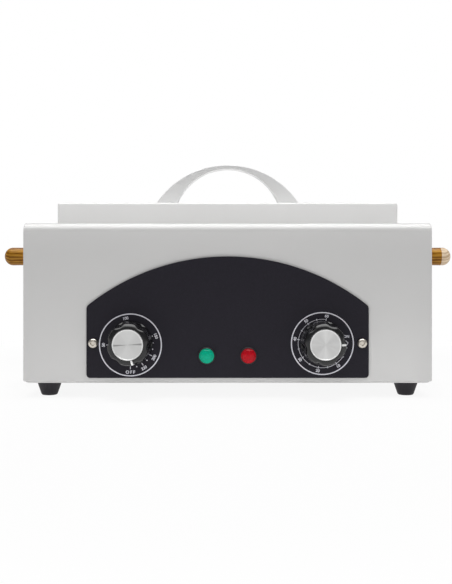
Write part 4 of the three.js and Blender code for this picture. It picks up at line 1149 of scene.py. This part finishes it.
def pan_rings(centre, half, corner, bottom_radius, floor_z, top_z):
    """Rings of a pan from its floor up: a rounded bottom edge and upright sides."""
    rings = [plan_ring(centre, half, corner, floor_z + depth, inset)
             for depth, inset in quarter(bottom_radius, CORNER_STEPS)]
    return rings + [plan_ring(centre, half, corner, top_z)]


def flange_rings(centre, half, corner, low_z, high_z):
    """Rings round a flange with its two edges broken."""
    levels = ((low_z, FLANGE_EDGE), (low_z + FLANGE_EDGE, 0), (high_z - FLANGE_EDGE, 0),
              (high_z, FLANGE_EDGE))
    return [plan_ring(centre, half, corner, z, inset) for z, inset in levels]


def chamber_tank():
    low, high, centre, flange = extent("chamber_tank")
    outer = inward(flange, TANK_FLANGE)
    inner = inward(outer, TANK_WALL)
    under = high.z - FLANGE_THICKNESS
    lip_z = high.z - TANK_LIP
    rings = pan_rings(centre, outer, TANK_CORNER + TANK_WALL, TANK_BOTTOM + TANK_WALL, low.z, under)
    rings += flange_rings(centre, flange, TANK_CORNER + TANK_FLANGE, under, high.z)
    inside = pan_rings(centre, inner, TANK_CORNER, TANK_BOTTOM, low.z + TANK_WALL, lip_z)
    for depth, inset in quarter(TANK_LIP, SMALL_CORNER_STEPS):
        inside.append(plan_ring(centre, inner, TANK_CORNER, lip_z + depth, inset - TANK_LIP))
    dress(loft("tank", rings + inside[::-1]), "stainless", "casing", "chamber_tank")


def instrument_tray():
    low, high, centre, rim = extent("instrument_tray")
    outer = inward(rim, TRAY_RIM)
    inner = inward(outer, TRAY_WALL)
    floor_z = low.z + RUNNER_HEIGHT
    under = high.z - TRAY_WALL
    rings = pan_rings(centre, outer, TRAY_CORNER, TRAY_BEND, floor_z, under)
    rings += flange_rings(centre, rim, TRAY_CORNER + TRAY_RIM, under, high.z)
    inside = pan_rings(centre, inner, TRAY_CORNER - TRAY_WALL, TRAY_INNER_BEND, floor_z + TRAY_WALL,
                       high.z - FLANGE_EDGE)
    inside.append(plan_ring(centre, inner, TRAY_CORNER - FLANGE_EDGE, high.z, -FLANGE_EDGE))
    tray = loft("tray_pan", rings + inside[::-1])

    cutters = []
    for x in spaced(TRAY_COLUMNS, TRAY_COLUMN_PITCH):
        for y in spaced(TRAY_ROWS, TRAY_ROW_PITCH):
            start = Vector((centre.x + x, centre.y + y, floor_z))
            cutters.append(pin(start, UP, TRAY_HOLE, TRAY_WALL))
    for node in ("bail_left", "bail_right"):
        _, bail_high, place, _ = extent(node)
        for side in (-1, 1):
            start = Vector((place.x, centre.y + side * outer.y, bail_high.z - BAIL_RADIUS))
            cutters.append(pin(start, BACK * -side, BAIL_HOLE, TRAY_WALL))
    cut(tray, [joined("cutter", cutters)])

    runner = outline(-RUNNER_HALF_WIDTH, RUNNER_HALF_WIDTH, low.z, floor_z + RUNNER_SINK,
                     RUNNER_ROUND, RUNNER_SINK)
    pieces = [tray]
    for side in (-1, 1):
        y = centre.y + side * (outer.y - RUNNER_INSET)
        pieces.append(loft("runner", [[Vector((centre.x + x, y + a, b)) for a, b in runner]
                                      for x in (-RUNNER_HALF_LENGTH, RUNNER_HALF_LENGTH)]))
    dress(joined("tray", pieces), "stainless", "tray", "instrument_tray")


def tube(name, points, radius, bend):
    """A wire along straight runs with rounded bends."""
    route = [points[0]]
    for before, corner, after in zip(points, points[1:], points[2:]):
        start = corner + (before - corner).normalized() * bend
        end = corner + (after - corner).normalized() * bend
        for i in range(TUBE_BEND_STEPS + 1):
            t = i / TUBE_BEND_STEPS
            route.append(start * (1 - t)**2 + corner * 2 * t * (1 - t) + end * t**2)
    route.append(points[-1])
    normal = (points[1] - points[0]).cross(points[2] - points[1]).normalized()
    rings = []
    for i, place in enumerate(route):
        ahead = (route[min(i + 1, len(route) - 1)] - route[max(i - 1, 0)]).normalized()
        side = ahead.cross(normal).normalized()
        turns = [2 * math.pi * j / TUBE_SIDES for j in range(TUBE_SIDES)]
        rings.append([place + (side * math.cos(turn) + normal * math.sin(turn)) * radius
                      for turn in turns])
    return loft(name, rings)


def bail(name):
    low, high, centre, _ = extent(f"bail_{name}")
    top, bottom = high.z - BAIL_RADIUS, low.z + BAIL_RADIUS
    front_leg, back_leg = low.y + BAIL_LEG, high.y - BAIL_LEG
    places = [(low.y, top), (front_leg, top), (front_leg, bottom),
              (back_leg, bottom), (back_leg, top), (high.y, top)]
    wire = tube(f"bail_wire_{name}", [Vector((centre.x, y, z)) for y, z in places], BAIL_RADIUS,
                BAIL_BEND)
    dress(wire, "stainless", f"{name}_bail", f"bail_{name}")


# Lid, liner and the bow handle

LID_CORNER = 3 * MM
LID_EDGE = 2 * MM
LID_HEM = 0.3 * MM
LID_WALL = 1 * MM
LINER_CORNER = 9.5 * MM
LINER_EDGE = 2.5 * MM
LINER_WALL = 0.8 * MM
LINER_GAP = 2.5 * MM
LINER_FLARE = 0.6 * MM
LINER_FLANGE_CORNER = 3 * MM
HANDLE_OUTER = 87.7 * MM
HANDLE_INNER = 55.4 * MM
HANDLE_CROWN = 3.5 * MM
HANDLE_STEPS = 72
HANDLE_EDGE = 0.5 * MM


def lid_shell():
    low, high, centre, half = extent("lid_shell")
    levels = [(high.z - depth, inset) for depth, inset in quarter(LID_EDGE, CORNER_STEPS)]
    levels += [(low.z + LID_HEM, 0), (low.z, LID_HEM), (low.z, LID_WALL), (high.z - LID_WALL, LID_WALL)]
    shell = loft("lid", [plan_ring(centre, half, LID_CORNER, z, inset) for z, inset in levels])
    dress(shell, "lid_paint", "lid", "lid_shell")


def lid_liner():
    low, high, centre, flange = extent("lid_liner")
    plug = inward(extent("chamber_tank")[3], TANK_FLANGE + TANK_WALL + LINER_GAP)
    under = high.z - LINER_WALL
    rings = pan_rings(centre, plug, LINER_CORNER, LINER_EDGE, low.z, under - LINER_FLARE)
    rings.append(plan_ring(centre, plug, LINER_CORNER, under, -LINER_FLARE))
    for z in (under, high.z):
        rings.append(plan_ring(centre, flange, LINER_FLANGE_CORNER, z))
    inside = pan_rings(centre, inward(plug, LINER_WALL), LINER_CORNER - LINER_WALL,
                       LINER_EDGE - LINER_WALL, low.z + LINER_WALL, high.z)
    dress(loft("liner", rings + inside[::-1]), "stainless", "lid", "lid_liner")


def handle():
    _, high, centre, size = extent("lid_handle")
    foot_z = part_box("lid_shell")[1].z
    arcs = []
    for radius, crown in ((HANDLE_OUTER, high.z), (HANDLE_INNER, high.z - HANDLE_CROWN)):
        base = crown - radius
        arcs.append((radius, base, math.acos((foot_z - base) / radius)))
    rings = []
    for i in range(HANDLE_STEPS + 1):
        share = 2 * i / HANDLE_STEPS - 1
        outer, inner = (Vector((centre.x + radius * math.sin(lean * share), centre.y,
                                base + radius * math.cos(lean * share)))
                        for radius, base, lean in arcs)
        place, reach = (outer + inner) / 2, (outer - inner) / 2
        half, outward = reach.length, reach.normalized()
        flat = outline(-half, half, -size.y, size.y, HANDLE_EDGE, HANDLE_EDGE)
        rings.append([place + outward * along + BACK * wide for along, wide in flat])
    dress(loft("bow_handle", rings), "handle_paint", "lid", "lid_handle", smooth=45)


# Studio: camera, world, floor and lamps

WHITE = (1, 1, 1, 1)


def camera():
    data = bpy.data.cameras.new("camera")
    data.lens = CAMERA_LENS
    data.shift_x = SHIFT_PIXELS[0] / LONG_SIDE_PIXELS
    data.shift_y = SHIFT_PIXELS[1] / LONG_SIDE_PIXELS
    piece = linked("camera", data)
    piece.location = CAMERA_PLACE
    piece.rotation_euler = (math.pi / 2, 0, 0)
    bpy.context.scene.camera = piece


def seen_directly(nodes):
    """1 for camera, glossy and transmission rays, and 1 for camera rays alone."""
    path = nodes.node("LightPath").outputs
    total = path["Is Camera Ray"]
    for name in ("Is Glossy Ray", "Is Transmission Ray"):
        total = nodes.math("ADD", total, path[name], clamp=True)
    return total, path["Is Camera Ray"]


def world():
    scene = bpy.context.scene
    scene.world = bpy.data.worlds.new("studio")
    scene.world.use_nodes = True
    nodes = Nodes(scene.world.node_tree)
    nodes.tree.nodes.clear()
    seen, is_camera = seen_directly(nodes)
    direction = nodes.node("TexCoord").outputs["Generated"]
    height = nodes.node("SeparateXYZ", Vector=direction).outputs["Z"]
    ceiling = nodes.ramp(height, *((stop, (level,) * 3) for stop, level in REFLECTED_CEILING),
                         interpolation="EASE")
    reflected = nodes.math("MULTIPLY", ceiling, REFLECTED_STRENGTH)
    strength = nodes.node("Mix", Factor=is_camera, A=reflected, B=1).outputs["Result"]
    fill = nodes.node("Background", Color=WHITE, Strength=WORLD_FILL)
    direct = nodes.node("Background", Color=WHITE, Strength=strength)
    nodes.output("OutputWorld", seen, fill, direct)


def floor():
    material = bpy.data.materials.new("floor")
    material.use_nodes = True
    nodes = Nodes(material.node_tree)
    nodes.tree.nodes.clear()
    board = nodes.node("BsdfDiffuse", Color=(FLOOR_ALBEDO,) * 3 + (1,))
    seen, _ = seen_directly(nodes)
    place = nodes.node("TexCoord").outputs["Object"]
    near, far = FLOOR_SHADOW_REACH
    fade = nodes.node("MapRange", {"interpolation_type": "SMOOTHSTEP"},
                      Value=nodes.vector("LENGTH", place, output="Value"),
                      From_Min=near, From_Max=far, To_Min=1 - FLOOR_SHADOW_SHARE, To_Max=1)
    share = nodes.math("MULTIPLY", seen, fade.outputs["Result"])
    nodes.output("OutputMaterial", share, board, nodes.node("Emission", Color=WHITE))
    half = FLOOR_HALF_WIDTH
    corners = [(-half, -half, 0), (half, -half, 0), (half, half, 0), (-half, half, 0)]
    plane = mesh_piece("studio_floor", corners, [(0, 1, 2, 3)])
    plane.data.materials.append(material)


def area_light(name, watts, size, place, spread, tilt):
    """A lamp that only lights: reflections show the studio's own brightness instead."""
    data = bpy.data.lights.new(name, "AREA")
    data.shape = "RECTANGLE"
    data.size, data.size_y = size
    data.spread = math.radians(spread)
    data.energy = watts
    piece = linked(name, data)
    piece.location = place
    piece.rotation_euler.x = math.radians(tilt)
    piece.visible_glossy = False
    piece.visible_camera = False


def bare_nodes():
    """Gives every node that keeps its own shape the finish of its slot."""
    for row in frame["record"]["subparts"]:
        node = frame["nodes"][row["node"]]
        finish = finishes.get(row["material_slot"])
        if finish is None or node.hide_render:
            continue
        node.data.materials.clear()
        node.data.materials.append(finish)


bpy.context.scene.view_settings.view_transform = "Standard"
camera()
world()
floor()
for light_name, light_values in LIGHTS.items():
    area_light(light_name, *light_values)
casing()
base_plate()
front_panel()
temperature_print()
timer_print()
for knob_name, knob_values in KNOBS.items():
    knob(knob_name, *knob_values)
for side_name, side_axis in (("left", LEFT), ("right", RIGHT)):
    pan_screw(f"panel_screw_{side_name}", FRONT, "nickel")
    side_peg(side_name, side_axis)
    bail(side_name)
    for end_name in ("front", "back"):
        foot(f"foot_{end_name}_{side_name}")
        for screw_kind in ("foot", "base"):
            pan_screw(f"{screw_kind}_screw_{end_name}_{side_name}", DOWN, "plain_steel")
for lamp_name, lamp_colors in LENS_COLORS.items():
    lamp(lamp_name, *lamp_colors)
cable_gland()
chamber_tank()
instrument_tray()
lid_shell()
lid_liner()
handle()
bare_nodes()
